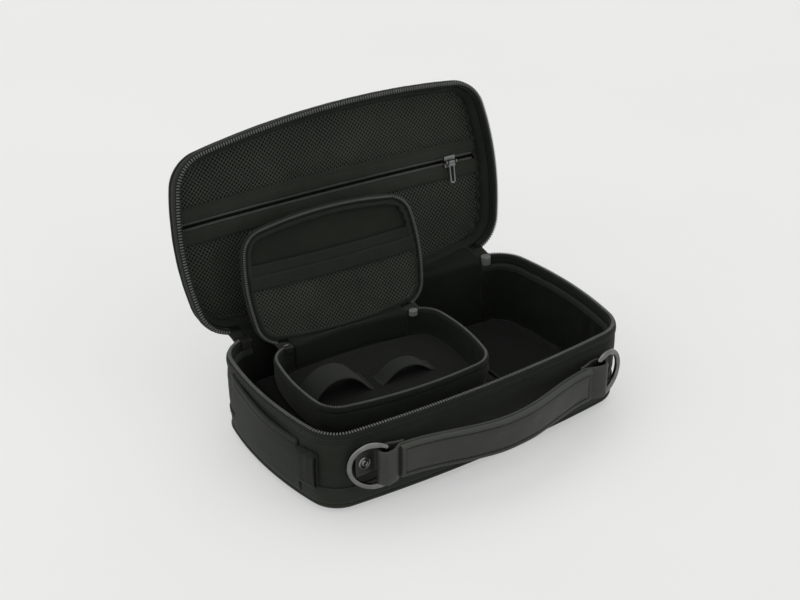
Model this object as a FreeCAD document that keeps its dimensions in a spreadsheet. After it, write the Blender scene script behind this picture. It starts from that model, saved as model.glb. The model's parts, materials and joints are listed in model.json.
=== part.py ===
import FreeCAD, Part
import math
import os

import Sketcher
from FreeCAD import Placement, Rotation, Vector

# Cable organizer pouch: a padded clamshell with a zipped lid, a small zipped case inside it,
# a padded shelf that the small case stands on, and a front handle between two D rings.
# X runs along the length, the handle is on the -Y side, the lid hinges on the +Y side, Z is up.
# The origin is the middle of the flat bottom. Millimetres and degrees.

SIZES = {
    # outlines: overall length and width, how far each side bows out, and the corner radius
    "base_length": 250.0, "base_width": 144.0, "base_long_bow": 8.2, "base_short_bow": 10.6,
    "base_corner": 24.0,
    "lid_length": 254.0, "lid_width": 139.5, "lid_long_bow": 12.0, "lid_short_bow": 13.0, "lid_corner": 27.0,
    "mini_length": 132.0, "mini_width": 92.0, "mini_long_bow": 7.5, "mini_short_bow": 7.2,
    "mini_corner": 18.0,
    "cap_length": 132.0, "cap_width": 87.0, "cap_long_bow": 7.5, "cap_short_bow": 7.2, "cap_corner": 18.0,
    # base: padded shell, lining and trim
    "base_height": 59.0, "rim_band": 7.0, "shell_wall": 3.0, "lining_wall": 1.2, "seam_gap": 0.1,
    "bottom_round": 7.0, "inside_round": 4.0, "floor_pad_inset": 6.6, "floor_pad_thick": 3.0,
    "welt_wall": 1.0, "welt_tall": 1.8, "skirt_wall": 0.6, "skirt_top": 18.0,
    "tape_inset": 0.2, "tape_wall": 1.6, "teeth_wall": 1.6, "zip_gap_half": 103.0,
    "binding_wall": 1.2, "binding_tall": 6.0, "gusset_half": 94.0, "gusset_inset": 0.6, "gusset_wall": 1.0,
    "gusset_tall": 5.4, "flap_half": 95.0, "flap_wall": 0.8, "flap_bottom": 9.0,
    # slip pocket and webbing loop on the left end
    "pocket_half": 39.0, "pocket_wall": 1.4, "pocket_top": 47.0, "pocket_binding_wall": 2.2,
    "pocket_binding_tall": 2.6, "side_loop_wide": 15.0, "side_loop_tall": 24.0, "side_loop_deep": 3.6,
    "side_loop_wall": 1.2, "side_loop_bottom": 20.0, "side_loop_turn": 13.0,
    # D rings, anchor tabs, rivets and handle
    "bar_reach": 84.5, "bar_out": 78.5, "bar_level": 36.0, "ring_radius": 15.0, "ring_offset": 7.5,
    "wire_radius": 1.85, "left_ring_yaw": 25.0, "right_ring_yaw": 16.5,
    "tab_far": 16.0, "tab_near": 4.5, "tab_wall": 1.8, "tab_back": 69.0, "tab_tall": 16.0,
    "knuckle_inner": 2.0, "knuckle_outer": 3.5, "web_tall": 11.0, "web_half": 1.0,
    "rivet_reach": 95.0, "rivet_level": 37.0, "rivet_shank": 1.5, "rivet_cap": 4.2, "rivet_cap_tall": 1.6,
    "rivet_hole": 1.65, "rivet_washer": 3.6, "rivet_washer_wall": 0.8, "rivet_washer_gap": 0.6,
    "strap_inner": 3.8, "strap_outer": 5.6, "strap_tall": 24.0, "strap_bow": 17.0, "window_tall": 13.0,
    "window_half": 2.0,
    "grip_half": 70.0, "grip_thick": 4.4, "grip_tall": 20.0, "grip_round": 1.6,
    # zip sliders with a bail, the pulls that hang from it, and the moulded end tabs
    "rim_drop": 0.3, "stop_gap": 0.2, "pin_radius": 0.5, "bore_radius": 0.8, "ear_wall": 1.0,
    "ear_half": 1.0,
    "slider_half": 4.0, "slider_wide": 6.4, "slider_tall": 4.6, "slider_round": 1.2,
    "pin_out": 1.8, "pin_level": 2.3, "barrel_radius": 1.3, "pull_half": 2.5, "pull_long": 12.5,
    "pull_thick": 1.1, "pull_round": 2.0, "pull_slot_half": 1.1, "pull_slot_low": 10.3,
    "pull_slot_high": 4.6,
    "end_tab_half": 4.0, "end_tab_nose": 2.1, "end_tab_side": 3.3, "end_tab_tall": 6.4, "end_tab_round": 0.6,
    # lid
    "lid_depth": 25.0, "lid_round": 10.0, "lid_inside_round": 4.0, "lid_welt_level": 13.0,
    "panel_level": 14.5, "panel_thick": 1.0, "panel_inset": 9.0,
    "pocket_line": 8.5, "pocket_tilt": 2.5, "pocket_slot_half": 1.6, "pocket_teeth_wide": 1.4,
    "pocket_tape_half": 13.0, "pocket_teeth_half": 108.0, "pocket_slider_rest": 95.0,
    "pocket_slider_gap": 0.3, "pocket_slider_half": 4.5, "pocket_slider_side": 4.0,
    "pocket_plate_thick": 1.6,
    "pocket_neck_half": 2.7, "pocket_neck_side": 1.3,
    "pocket_pin_out": 1.6, "pocket_barrel_radius": 1.2, "pocket_pull_half": 2.2, "pocket_pull_long": 15.5,
    "pocket_pull_thick": 1.0, "pocket_pull_round": 1.8, "pocket_pull_slot_half": 1.2,
    "pocket_pull_slot_low": 14.3, "pocket_pull_slot_high": 3.0,
    # hinges: where each axis lies and how far each lid stands open
    "hinge_y": 68.5, "hinge_z": 54.3, "lid_open": 104.0, "rim_gap": 0.4, "lid_overhang": 0.15,
    "mini_hinge_inset": 2.4, "mini_hinge_drop": 3.4, "mini_open": 108.5,
    # padded shelf under the small case
    "shelf_left": -100.0, "shelf_right": 37.0, "shelf_front": -38.0, "shelf_back": 57.0, "shelf_top": 30.0,
    "shelf_wall": 5.0,
    # small case
    "mini_x": -32.0, "mini_y": 3.0, "mini_turn": -4.5, "mini_height": 24.0, "mini_band": 5.0,
    "mini_shell_wall": 2.0, "mini_lining_wall": 1.0, "mini_bottom_round": 5.0, "mini_inside_round": 3.0,
    "mini_panel_inset": 5.0, "mini_panel_thick": 1.6, "mini_tape_wall": 1.2, "mini_teeth_wall": 1.2,
    "mini_gap_half": 51.0, "mini_gusset_half": 43.0, "mini_gusset_wall": 5.0, "mini_gusset_tall": 3.2,
    "mini_flap_half": 46.0, "mini_flap_wall": 0.7,
    "wide_band_left": -59.0, "wide_band_right": -11.0, "wide_band_y": 1.0, "wide_band_wide": 22.0,
    "wide_band_rise": 15.0, "stick_band_left": -5.0, "stick_band_right": 35.0, "stick_band_y": -3.0,
    "stick_band_wide": 13.0, "stick_band_rise": 9.0, "elastic_wall": 1.0, "band_foot": 3.0,
    "cap_depth": 7.6, "cap_band": 3.4, "cap_round": 3.2, "cap_inside_round": 1.8,
    "cap_mesh_level": 1.6, "cap_mesh_thick": 0.6, "cap_mesh_top": 0.5, "cap_elastic_wall": 1.0,
    "cap_elastic_wide": 9.0, "cap_rear_level": 2.8, "cap_rear_wide": 7.5, "cap_mesh_inset": 4.2,
    "mini_slider_half": 3.2, "mini_slider_wide": 4.6, "mini_slider_tall": 3.2, "mini_slider_round": 0.9,
    "mini_pin_out": 1.6, "mini_pin_level": 1.6, "mini_barrel_radius": 1.2, "mini_pull_half": 1.7,
    "mini_pull_long": 10.0, "mini_pull_thick": 0.9, "mini_pull_round": 1.4, "mini_pull_slot_half": 0.7,
    "mini_pull_slot_low": 8.4, "mini_pull_slot_high": 3.8,
    "mini_end_tab_half": 3.5, "mini_end_tab_nose": 1.6, "mini_end_tab_side": 2.4, "mini_end_tab_tall": 4.2,
}

doc = FreeCAD.newDocument("cable_organizer_pouch")
sheet = doc.addObject("Spreadsheet::Sheet", "dims")
for row, (alias, value) in enumerate(SIZES.items(), start=1):
    sheet.set(f"A{row}", alias.replace("_", " "))
    sheet.set(f"B{row}", str(value))
    sheet.setAlias(f"B{row}", alias)
doc.recompute()

PARTS = []  # every finished sub-part, in the order in which it was made


# ---- sums of driving dimensions -------------------------------------------------------------

def total(*terms):
    """The sum of sheet values; a term that starts with "-" is taken away."""
    return sum(-SIZES[t[1:]] if t.startswith("-") else SIZES[t] for t in terms)


def formula(*terms):
    """The same sum as an expression on the sheet's cells."""
    if not terms:
        return "0"
    return " ".join(f"- dims.{t[1:]}" if t.startswith("-") else f"+ dims.{t}" for t in terms)


# ---- bowed rounded rectangles ---------------------------------------------------------------

class Outline:
    """A rectangle whose four sides are shallow arcs, joined by tangent corner arcs."""

    def __init__(self, family):
        self.family = family
        length, width, long_bow, short_bow, corner = (
            SIZES[f"{family}_{name}"] for name in ("length", "width", "long_bow", "short_bow", "corner"))
        self.long_radius = (length / 2) ** 2 / (2 * long_bow) + long_bow / 2
        self.short_radius = (width / 2) ** 2 / (2 * short_bow) + short_bow / 2
        self.long_centre = Vector(0, width / 2 - self.long_radius, 0)
        self.short_centre = Vector(length / 2 - self.short_radius, 0, 0)
        self.corner = corner
        self.corner_centre = self.meet(self.long_radius - corner, self.short_radius - corner)

    def meet(self, from_long, from_short):
        """The point in the +X +Y quarter at these distances from the two side centres."""
        span = self.short_centre - self.long_centre
        reach = span.Length
        along = (from_long ** 2 - from_short ** 2 + reach ** 2) / (2 * reach)
        across = math.sqrt(from_long ** 2 - along ** 2)
        unit = span.normalize()
        return self.long_centre + unit * along + Vector(unit.y, -unit.x, 0) * across

    def angles(self):
        """Where the corner arc starts, on the short side, and ends, on the long side."""
        low = self.corner_centre - self.short_centre
        high = self.corner_centre - self.long_centre
        return math.atan2(low.y, low.x), math.atan2(high.y, high.x)

    def arcs(self, offset):
        """Centre, radius, start and end angle of the eight arcs, anticlockwise from the +X side."""
        low, high = self.angles()
        corner_x, corner_y = self.corner_centre.x, self.corner_centre.y
        side, top, turn = self.short_centre.x, self.long_centre.y, math.pi
        small, short, long = (r - offset for r in (self.corner, self.short_radius, self.long_radius))
        return [
            (Vector(side, 0, 0), short, -low, low),
            (Vector(corner_x, corner_y, 0), small, low, high),
            (Vector(0, top, 0), long, high, turn - high),
            (Vector(-corner_x, corner_y, 0), small, turn - high, turn - low),
            (Vector(-side, 0, 0), short, turn - low, turn + low),
            (Vector(-corner_x, -corner_y, 0), small, turn + low, turn + high),
            (Vector(0, -top, 0), long, turn + high, 2 * turn - high),
            (Vector(corner_x, -corner_y, 0), small, 2 * turn - high, 2 * turn - low),
        ]

    def edge_y(self, across):
        """How far out the +Y side lies at this X."""
        _, high = self.angles()
        centre, tangent = self.corner_centre, self.corner_centre.x + self.corner * math.cos(high)
        if abs(across) <= tangent:
            return self.long_centre.y + math.sqrt(self.long_radius ** 2 - across ** 2)
        return centre.y + math.sqrt(self.corner ** 2 - (abs(across) - centre.x) ** 2)

    def radius_formula(self, side):
        size, bow = ("length", "long_bow") if side == "long" else ("width", "short_bow")
        size, bow = f"dims.{self.family}_{size}", f"dims.{self.family}_{bow}"
        return f"(({size} / 2) ^ 2 / (2 * {bow}) + {bow} / 2)"

    def half_formula(self, side):
        return f"dims.{self.family}_width / 2" if side == "long" else f"dims.{self.family}_length / 2"


OUTLINES = {family: Outline(family) for family in ("base", "lid", "mini", "cap")}


# ---- sketch helpers -------------------------------------------------------------------------

def plane(body, role):
    return next(f for f in body.Origin.OriginFeatures if f.Role == role)


def new_sketch(body, role="XY_Plane", lift=(), turn=0.0):
    """A sketch on one of the body's own planes, lifted along the plane's normal by a sum of sizes."""
    sketch = body.newObject("Sketcher::SketchObject", f"{body.Name}_sketch")
    sketch.AttachmentSupport = [(plane(body, role), "")]
    sketch.MapMode = "FlatFace"
    sketch.AttachmentOffset = Placement(Vector(0, 0, total(*lift)), Rotation(Vector(0, 0, 1), turn))
    if lift:
        sketch.setExpression("AttachmentOffset.Base.z", formula(*lift))
    return sketch


def bind(sketch, index, expression):
    sketch.setExpression(f"Constraints[{index}]", expression)


def arc_of(centre, radius, start, end):
    return Part.ArcOfCircle(Part.Circle(centre, Vector(0, 0, 1), radius), start, end)


def hold_radius(sketch, geo, value, expression):
    bind(sketch, sketch.addConstraint(Sketcher.Constraint("Radius", geo, value)), expression)


def hold_centre(sketch, geo, axis, value, expression):
    """Keep an arc's centre on an axis of the sketch, at a signed distance from the origin."""
    other, name = (-2, "DistanceY") if axis == "Y" else (-1, "DistanceX")
    sketch.addConstraint(Sketcher.Constraint("PointOnObject", geo, 3, other))
    ends = (-1, 1, geo, 3) if value >= 0 else (geo, 3, -1, 1)
    bind(sketch, sketch.addConstraint(Sketcher.Constraint(name, *ends, abs(value))), expression)


def draw_outline(sketch, family, *offset):
    """The closed outline, moved inwards by a sum of sizes."""
    outline, inset = OUTLINES[family], total(*offset)
    first = sketch.GeometryCount
    for arc in outline.arcs(inset):
        sketch.addGeometry(arc_of(*arc), False)
    for step in range(8):
        here, after = first + step, first + (step + 1) % 8
        sketch.addConstraint(Sketcher.Constraint("Tangent", here, 2, after, 1))
    for step, side, axis in ((0, "short", "X"), (2, "long", "Y"), (4, "short", "X"), (6, "long", "Y")):
        centre, radius, _, _ = outline.arcs(inset)[step]
        whole = outline.radius_formula(side)
        place = centre.x if axis == "X" else centre.y
        hold_centre(sketch, first + step, axis, place, f"abs({whole} - {outline.half_formula(side)})")
        hold_radius(sketch, first + step, radius, f"{whole} - ({formula(*offset)})")
    for step in (1, 3, 5, 7):
        hold_radius(sketch, first + step, outline.corner - inset,
                    f"dims.{family}_corner - ({formula(*offset)})")


def draw_strip(sketch, family, side, outer, inner, half):
    """Part of one side, between two offsets: "back" is the +Y side, "left" the -X side."""
    outline = OUTLINES[family]
    step, name, axis = (2, "long", "Y") if side == "back" else (4, "short", "X")
    first = sketch.GeometryCount
    ends = []
    for offset in (outer, inner):
        centre, radius, _, _ = outline.arcs(total(*offset))[step]
        reach = math.asin(total(*half) / radius)
        middle = math.pi / 2 if side == "back" else math.pi
        sketch.addGeometry(arc_of(centre, radius, middle - reach, middle + reach), False)
        ends.append([centre + Vector(math.cos(a), math.sin(a), 0) * radius
                     for a in (middle - reach, middle + reach)])
    for which in (0, 1):
        sketch.addGeometry(Part.LineSegment(ends[0][which], ends[1][which]), False)
    for which, end in ((0, 1), (1, 2)):
        line = first + 2 + which
        sketch.addConstraint(Sketcher.Constraint("Coincident", first, end, line, 1))
        sketch.addConstraint(Sketcher.Constraint("Coincident", first + 1, end, line, 2))
        sketch.addConstraint(Sketcher.Constraint("Vertical" if side == "back" else "Horizontal", line))
        sign = ends[0][which].x if side == "back" else ends[0][which].y
        run = "DistanceX" if side == "back" else "DistanceY"
        pair = (-1, 1, line, 1) if sign >= 0 else (line, 1, -1, 1)
        bind(sketch, sketch.addConstraint(Sketcher.Constraint(run, *pair, abs(sign))), formula(*half))
    for geo, offset in ((first, outer), (first + 1, inner)):
        centre, radius, _, _ = outline.arcs(total(*offset))[step]
        whole = outline.radius_formula(name)
        place = centre.x if axis == "X" else centre.y
        hold_centre(sketch, geo, axis, place, f"abs({whole} - {outline.half_formula(name)})")
        hold_radius(sketch, geo, radius, f"{whole} - ({formula(*offset)})")


def pin(sketch, geo, point, across, along):
    """Keep a point at signed sums of sizes from the sketch's origin."""
    for name, other, terms in (("DistanceX", -2, across), ("DistanceY", -1, along)):
        value = total(*terms)
        if not terms or abs(value) < 1e-9:
            sketch.addConstraint(Sketcher.Constraint("PointOnObject", geo, point, other))
            continue
        pair = (-1, 1, geo, point) if value > 0 else (geo, point, -1, 1)
        text = formula(*terms) if value > 0 else f"-({formula(*terms)})"
        bind(sketch, sketch.addConstraint(Sketcher.Constraint(name, *pair, abs(value))), text)


def draw_box(sketch, left, right, low, high):
    """A rectangle between signed sums of sizes."""
    x0, x1, y0, y1 = total(*left), total(*right), total(*low), total(*high)
    corners = [Vector(x0, y0, 0), Vector(x1, y0, 0), Vector(x1, y1, 0), Vector(x0, y1, 0)]
    first = sketch.GeometryCount
    for step in range(4):
        sketch.addGeometry(Part.LineSegment(corners[step], corners[(step + 1) % 4]), False)
    for step in range(4):
        sketch.addConstraint(Sketcher.Constraint("Coincident", first + step, 2, first + (step + 1) % 4, 1))
        level = "Horizontal" if step % 2 == 0 else "Vertical"
        sketch.addConstraint(Sketcher.Constraint(level, first + step))
    pin(sketch, first, 1, left, low)
    pin(sketch, first + 1, 2, right, high)


def draw_polygon(sketch, points):
    """A closed polygon whose corners are signed sums of sizes."""
    places = [Vector(total(*across), total(*along), 0) for across, along in points]
    first, count = sketch.GeometryCount, len(points)
    for step in range(count):
        sketch.addGeometry(Part.LineSegment(places[step], places[(step + 1) % count]), False)
    for step in range(count):
        following = first + (step + 1) % count
        sketch.addConstraint(Sketcher.Constraint("Coincident", first + step, 2, following, 1))
    for step, (across, along) in enumerate(points):
        pin(sketch, first + step, 1, across, along)


def draw_circle(sketch, across, along, *radius):
    geo = sketch.addGeometry(Part.Circle(Vector(total(*across), total(*along), 0), Vector(0, 0, 1),
                                         total(*radius)), False)
    hold_radius(sketch, geo, total(*radius), formula(*radius))
    pin(sketch, geo, 3, across, along)


# ---- feature helpers ------------------------------------------------------------------------

def new_body(label):
    body = doc.addObject("PartDesign::Body", label)
    body.Label = label
    PARTS.append(body)
    return body


def pad(body, sketch, *height, midplane=False):
    feature = body.newObject("PartDesign::Pad", f"{body.Name}_pad")
    feature.Profile = sketch
    feature.Length = total(*height)
    feature.setExpression("Length", formula(*height))
    if midplane:
        feature.SideType = "Symmetric"
    doc.recompute()
    return feature


def pocket(body, sketch, *depth, up=True, symmetric=False):
    """Cut a sketch's shape away. The volume must fall, or the cut missed the solid."""
    before = body.Shape.Volume
    feature = body.newObject("PartDesign::Pocket", f"{body.Name}_pocket")
    feature.Profile = sketch
    feature.Length = total(*depth)
    feature.setExpression("Length", formula(*depth))
    feature.Reversed = up
    if symmetric:
        feature.SideType = "Symmetric"
    doc.recompute()
    if body.Shape.Volume > before - 0.01:
        raise RuntimeError(f"{body.Label}: a pocket cut nothing")
    return feature


def through(body, sketch):
    """Cut a sketch's shape right through, both ways."""
    before = body.Shape.Volume
    feature = body.newObject("PartDesign::Pocket", f"{body.Name}_through")
    feature.Profile = sketch
    feature.Type = "ThroughAll"
    feature.SideType = "Symmetric"
    doc.recompute()
    if body.Shape.Volume > before - 0.01:
        raise RuntimeError(f"{body.Label}: a cut through it missed")


def edges_at(shape, level):
    """The names of the edges that lie flat at a height."""
    names = []
    for number, edge in enumerate(shape.Edges, start=1):
        box = edge.BoundBox
        if abs(box.ZMin - level) < 1e-4 and abs(box.ZMax - level) < 1e-4:
            names.append(f"Edge{number}")
    return names


def round_edges(body, names, *radius):
    base = body.Tip
    fillet = body.newObject("PartDesign::Fillet", f"{body.Name}_fillet")
    fillet.Base = (base, names)
    fillet.Radius = total(*radius)
    fillet.setExpression("Radius", formula(*radius))
    doc.recompute()
    return fillet


def cup(label, family, offset, wall, low, high, floor, outer_round, inner_round, upside_down=False):
    """An open shell of one outline: walls all round and a floor, or a roof if it is upside down."""
    body = new_body(label)
    sketch = new_sketch(body, lift=low)
    draw_outline(sketch, family, *offset)
    pad(body, sketch, *high, *negated(low))
    closed = total(*(high if upside_down else low))
    round_edges(body, edges_at(body.Shape, closed), *outer_round)
    hollow_low = low if upside_down else low + floor
    hollow_high = high + negated(floor) if upside_down else high
    inside = new_sketch(body, lift=hollow_low)
    draw_outline(inside, family, *offset, *wall)
    pocket(body, inside, *hollow_high, *negated(hollow_low))
    inner = total(*(hollow_high if upside_down else hollow_low))
    round_edges(body, edges_at(body.Shape, inner), *inner_round)
    return body


def negated(terms):
    return tuple(t[1:] if t.startswith("-") else f"-{t}" for t in terms)


def ring(label, family, outer, inner, low, high, gap=(), gap_from=()):
    """A band that follows an outline between two offsets, open across the back over a gap."""
    body = new_body(label)
    sketch = new_sketch(body, lift=low)
    draw_outline(sketch, family, *outer)
    draw_outline(sketch, family, *inner)
    pad(body, sketch, *high, *negated(low))
    if gap:
        cut = new_sketch(body, lift=low)
        draw_box(cut, negated(gap), gap, (), gap_from)
        pocket(body, cut, *high, *negated(low))
    return body


def strip(label, family, side, outer, inner, half, low, high):
    body = new_body(label)
    sketch = new_sketch(body, lift=low)
    draw_strip(sketch, family, side, outer, inner, half)
    pad(body, sketch, *high, *negated(low))
    return body


def part_feature(label, shape):
    """A solid made with Part's own functions, for a form that neither a pad nor a primitive fits."""
    feature = doc.addObject("Part::Feature", label)
    feature.Label = label
    feature.Shape = shape
    PARTS.append(feature)
    return feature


# ---- where things stand ---------------------------------------------------------------------

def turned_about(point, axis, angle):
    return Placement(Vector(0, 0, 0), Rotation(axis, angle), point)


LID_MIDDLE = total("base_width") / 2 - total("lid_width") / 2 + total("lid_overhang")
LID_CLOSED = Placement(Vector(0, LID_MIDDLE, total("base_height", "rim_gap")), Rotation())
LID_HINGE = Vector(0, total("hinge_y"), total("hinge_z"))
LID_PLACE = turned_about(LID_HINGE, Vector(1, 0, 0), -total("lid_open")) * LID_CLOSED

MINI_PLACE = Placement(Vector(total("mini_x"), total("mini_y"), total("shelf_top")),
                       Rotation(Vector(0, 0, 1), total("mini_turn")))
CAP_MIDDLE = total("mini_width") / 2 - total("cap_width") / 2
CAP_CLOSED = Placement(Vector(0, CAP_MIDDLE, total("mini_height", "rim_gap")), Rotation())
MINI_HINGE = Vector(0, total("mini_width") / 2 - total("mini_hinge_inset"),
                    total("mini_height", "-mini_hinge_drop"))
CAP_PLACE = MINI_PLACE * turned_about(MINI_HINGE, Vector(1, 0, 0), -total("mini_open")) * CAP_CLOSED


def move_last(place, count=1):
    """Put the newest sub-parts in their place."""
    for body in PARTS[-count:]:
        body.Placement = place * body.Placement


# ---- base -----------------------------------------------------------------------------------

def rivet_holes(body):
    """Two holes through the front wall only, for the rivets that hold the anchor tabs."""
    sketch = new_sketch(body, "XZ_Plane")
    for across in (("rivet_reach",), ("-rivet_reach",)):
        draw_circle(sketch, across, ("rivet_level",), "rivet_hole")
    back_before = back_volume(body)
    feature = pocket(body, sketch, "base_width")
    if back_volume(body) < back_before - 0.01:
        feature.Reversed = not feature.Reversed
        doc.recompute()
    if abs(back_volume(body) - back_before) > 0.01:
        raise RuntimeError(f"{body.Label}: the rivet holes reach the back wall")


def back_volume(body):
    size = total("base_length")
    return body.Shape.common(Part.makeBox(size, size, size, Vector(-size / 2, 0, 0))).Volume


def make_base_shells():
    wall_top = ("base_height", "-rim_band")
    shell = cup("base_shell", "base", (), ("shell_wall",), (), wall_top, ("shell_wall",),
                ("bottom_round",), ("inside_round",))
    lining = cup("base_lining", "base", ("shell_wall", "seam_gap"), ("lining_wall",),
                 ("shell_wall", "seam_gap"), wall_top, ("lining_wall",),
                 ("inside_round", "-seam_gap"), ("inside_round", "-seam_gap", "-lining_wall"))
    for body in (shell, lining):
        rivet_holes(body)
    floor = ("shell_wall", "seam_gap", "lining_wall", "seam_gap")
    pad_body = new_body("base_floor_pad")
    sketch = new_sketch(pad_body, lift=floor)
    draw_outline(sketch, "base", "floor_pad_inset")
    pad(pad_body, sketch, "floor_pad_thick")


def make_base_trim():
    inside = ("shell_wall", "seam_gap", "lining_wall", "seam_gap")
    wall_top = ("base_height", "-rim_band")
    gap, beyond = ("zip_gap_half",), ("base_width",)
    ring("base_bottom_welt", "base", ("-welt_wall",), ("-seam_gap",),
         ("bottom_round", "seam_gap"), ("bottom_round", "seam_gap", "welt_tall"))
    ring("base_lower_skirt", "base", ("-skirt_wall",), ("-seam_gap",),
         ("bottom_round", "welt_tall", "seam_gap", "seam_gap"), ("skirt_top",))
    ring("base_zip_tape", "base", ("tape_inset",), ("tape_inset", "tape_wall"),
         (*wall_top, "seam_gap"), ("base_height", "-seam_gap"), gap, beyond)
    ring("base_zip_teeth", "base", ("tape_inset", "tape_wall", "seam_gap"),
         ("tape_inset", "tape_wall", "seam_gap", "teeth_wall"),
         ("base_height", "-teeth_wall"), ("base_height",), gap, beyond)
    ring("base_binding", "base", inside, (*inside, "binding_wall"),
         (*wall_top, "-binding_tall"), wall_top, ("flap_half", "seam_gap"), beyond)
    strip("hinge_gusset", "base", "back", ("gusset_inset",), ("gusset_inset", "gusset_wall"),
          ("gusset_half",), (*wall_top, "seam_gap"), (*wall_top, "seam_gap", "gusset_tall"))
    strip("hinge_flap", "base", "back", inside, (*inside, "flap_wall"), ("flap_half",),
          ("flap_bottom",), (*wall_top, "-binding_tall"))


def make_end_pocket():
    strip("end_pocket_panel", "base", "left", ("-skirt_wall", "-seam_gap", "-pocket_wall"),
          ("-skirt_wall", "-seam_gap"), ("pocket_half",),
          ("bottom_round", "welt_tall", "seam_gap", "seam_gap"), ("pocket_top",))
    strip("end_pocket_binding", "base", "left", ("-skirt_wall", "-pocket_binding_wall"),
          ("-seam_gap",), ("pocket_half",),
          ("pocket_top", "seam_gap"), ("pocket_top", "seam_gap", "pocket_binding_tall"))


def corner_place(family, turn, out, level):
    """On the outline's front left corner: X follows the wall and Y points into it."""
    outline = OUTLINES[family]
    angle = math.pi + math.radians(turn)
    centre = Vector(-outline.corner_centre.x, -outline.corner_centre.y, level)
    point = centre + Vector(math.cos(angle), math.sin(angle), 0) * (outline.corner + out)
    return Placement(point, Rotation(Vector(0, 0, 1), turn - 90))


def make_side_loop():
    """A flat webbing loop, sewn to the wall at its top and bottom, with a slot behind it."""
    body = new_body("side_loop_tab")
    sketch = new_sketch(body, "YZ_Plane")
    draw_box(sketch, ("-side_loop_deep",), (), (), ("side_loop_tall",))
    draw_box(sketch, ("side_loop_wall", "-side_loop_deep"), ("-side_loop_wall",),
             ("side_loop_wall", "side_loop_wall"), ("side_loop_tall", "-side_loop_wall", "-side_loop_wall"))
    pad(body, sketch, "side_loop_wide", midplane=True)
    outwards = total("skirt_wall", "seam_gap", "seam_gap")
    body.Placement = corner_place("base", total("side_loop_turn"), outwards, total("side_loop_bottom"))


# ---- handle, rings and rivets ---------------------------------------------------------------

def bar_point(sign):
    return Vector(sign * total("bar_reach"), -total("bar_out"), total("bar_level"))


def make_anchor_tab(side, sign):
    """A leather tab: a plate riveted to the wall, and a web that ends in a knuckle round the bar."""
    body = new_body(f"anchor_tab_{side}")
    level, back, front = ("bar_level",), ("-tab_back",), ("-tab_back", "-tab_wall")
    bar, rivet = ("bar_reach",), ("rivet_reach",)
    low, high = (*bar, "-tab_near"), (*bar, "tab_far")
    if sign < 0:
        bar, rivet = negated(bar), negated(rivet)
        low, high = negated(high), negated(low)
    plate = new_sketch(body, lift=level)
    draw_box(plate, low, high, front, back)
    pad(body, plate, "tab_tall", midplane=True)
    web = new_sketch(body, lift=level)
    draw_box(web, (*bar, "-web_half"), (*bar, "web_half"), ("-bar_out",), back)
    pad(body, web, "web_tall", midplane=True)
    knuckle = new_sketch(body, lift=level)
    draw_circle(knuckle, bar, ("-bar_out",), "knuckle_outer")
    pad(body, knuckle, "web_tall", midplane=True)
    bore = new_sketch(body, lift=level)
    draw_circle(bore, bar, ("-bar_out",), "knuckle_inner")
    pocket(body, bore, "tab_tall", symmetric=True)
    hole = new_sketch(body, "XZ_Plane")
    draw_circle(hole, rivet, ("rivet_level",), "rivet_hole")
    through(body, hole)


def make_rivets():
    """Domed caps outside with their shanks, and washers inside, one pair for each tab."""
    reach, cap, tall = (total(n) for n in ("rivet_reach", "rivet_cap", "rivet_cap_tall"))
    wall = total("rivet_washer_wall")
    out = total("tab_back", "tab_wall", "seam_gap")
    inner = OUTLINES["base"].edge_y(reach) - total("shell_wall", "lining_wall", "rivet_washer_gap")
    sphere_radius = (cap ** 2 + tall ** 2) / (2 * tall)
    forward, backward = Vector(0, -1, 0), Vector(0, 1, 0)
    caps, washers = [], []
    for sign in (-1, 1):
        middle = Vector(sign * reach, -out, total("rivet_level"))
        dome = Part.makeSphere(sphere_radius, middle + Vector(0, sphere_radius - tall, 0))
        shank = Part.makeCylinder(total("rivet_shank"), out - inner + wall, middle, backward)
        caps.append(dome.common(Part.makeCylinder(cap, tall, middle, forward)).fuse(shank))
        face = Vector(middle.x, wall - inner, middle.z)
        disc = Part.makeCylinder(total("rivet_washer"), wall, face, forward)
        washers.append(disc.cut(Part.makeCylinder(total("rivet_hole"), wall, face, forward)))
    part_feature("rivets", Part.makeCompound(caps))
    part_feature("rivet_washers", Part.makeCompound(washers))


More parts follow.
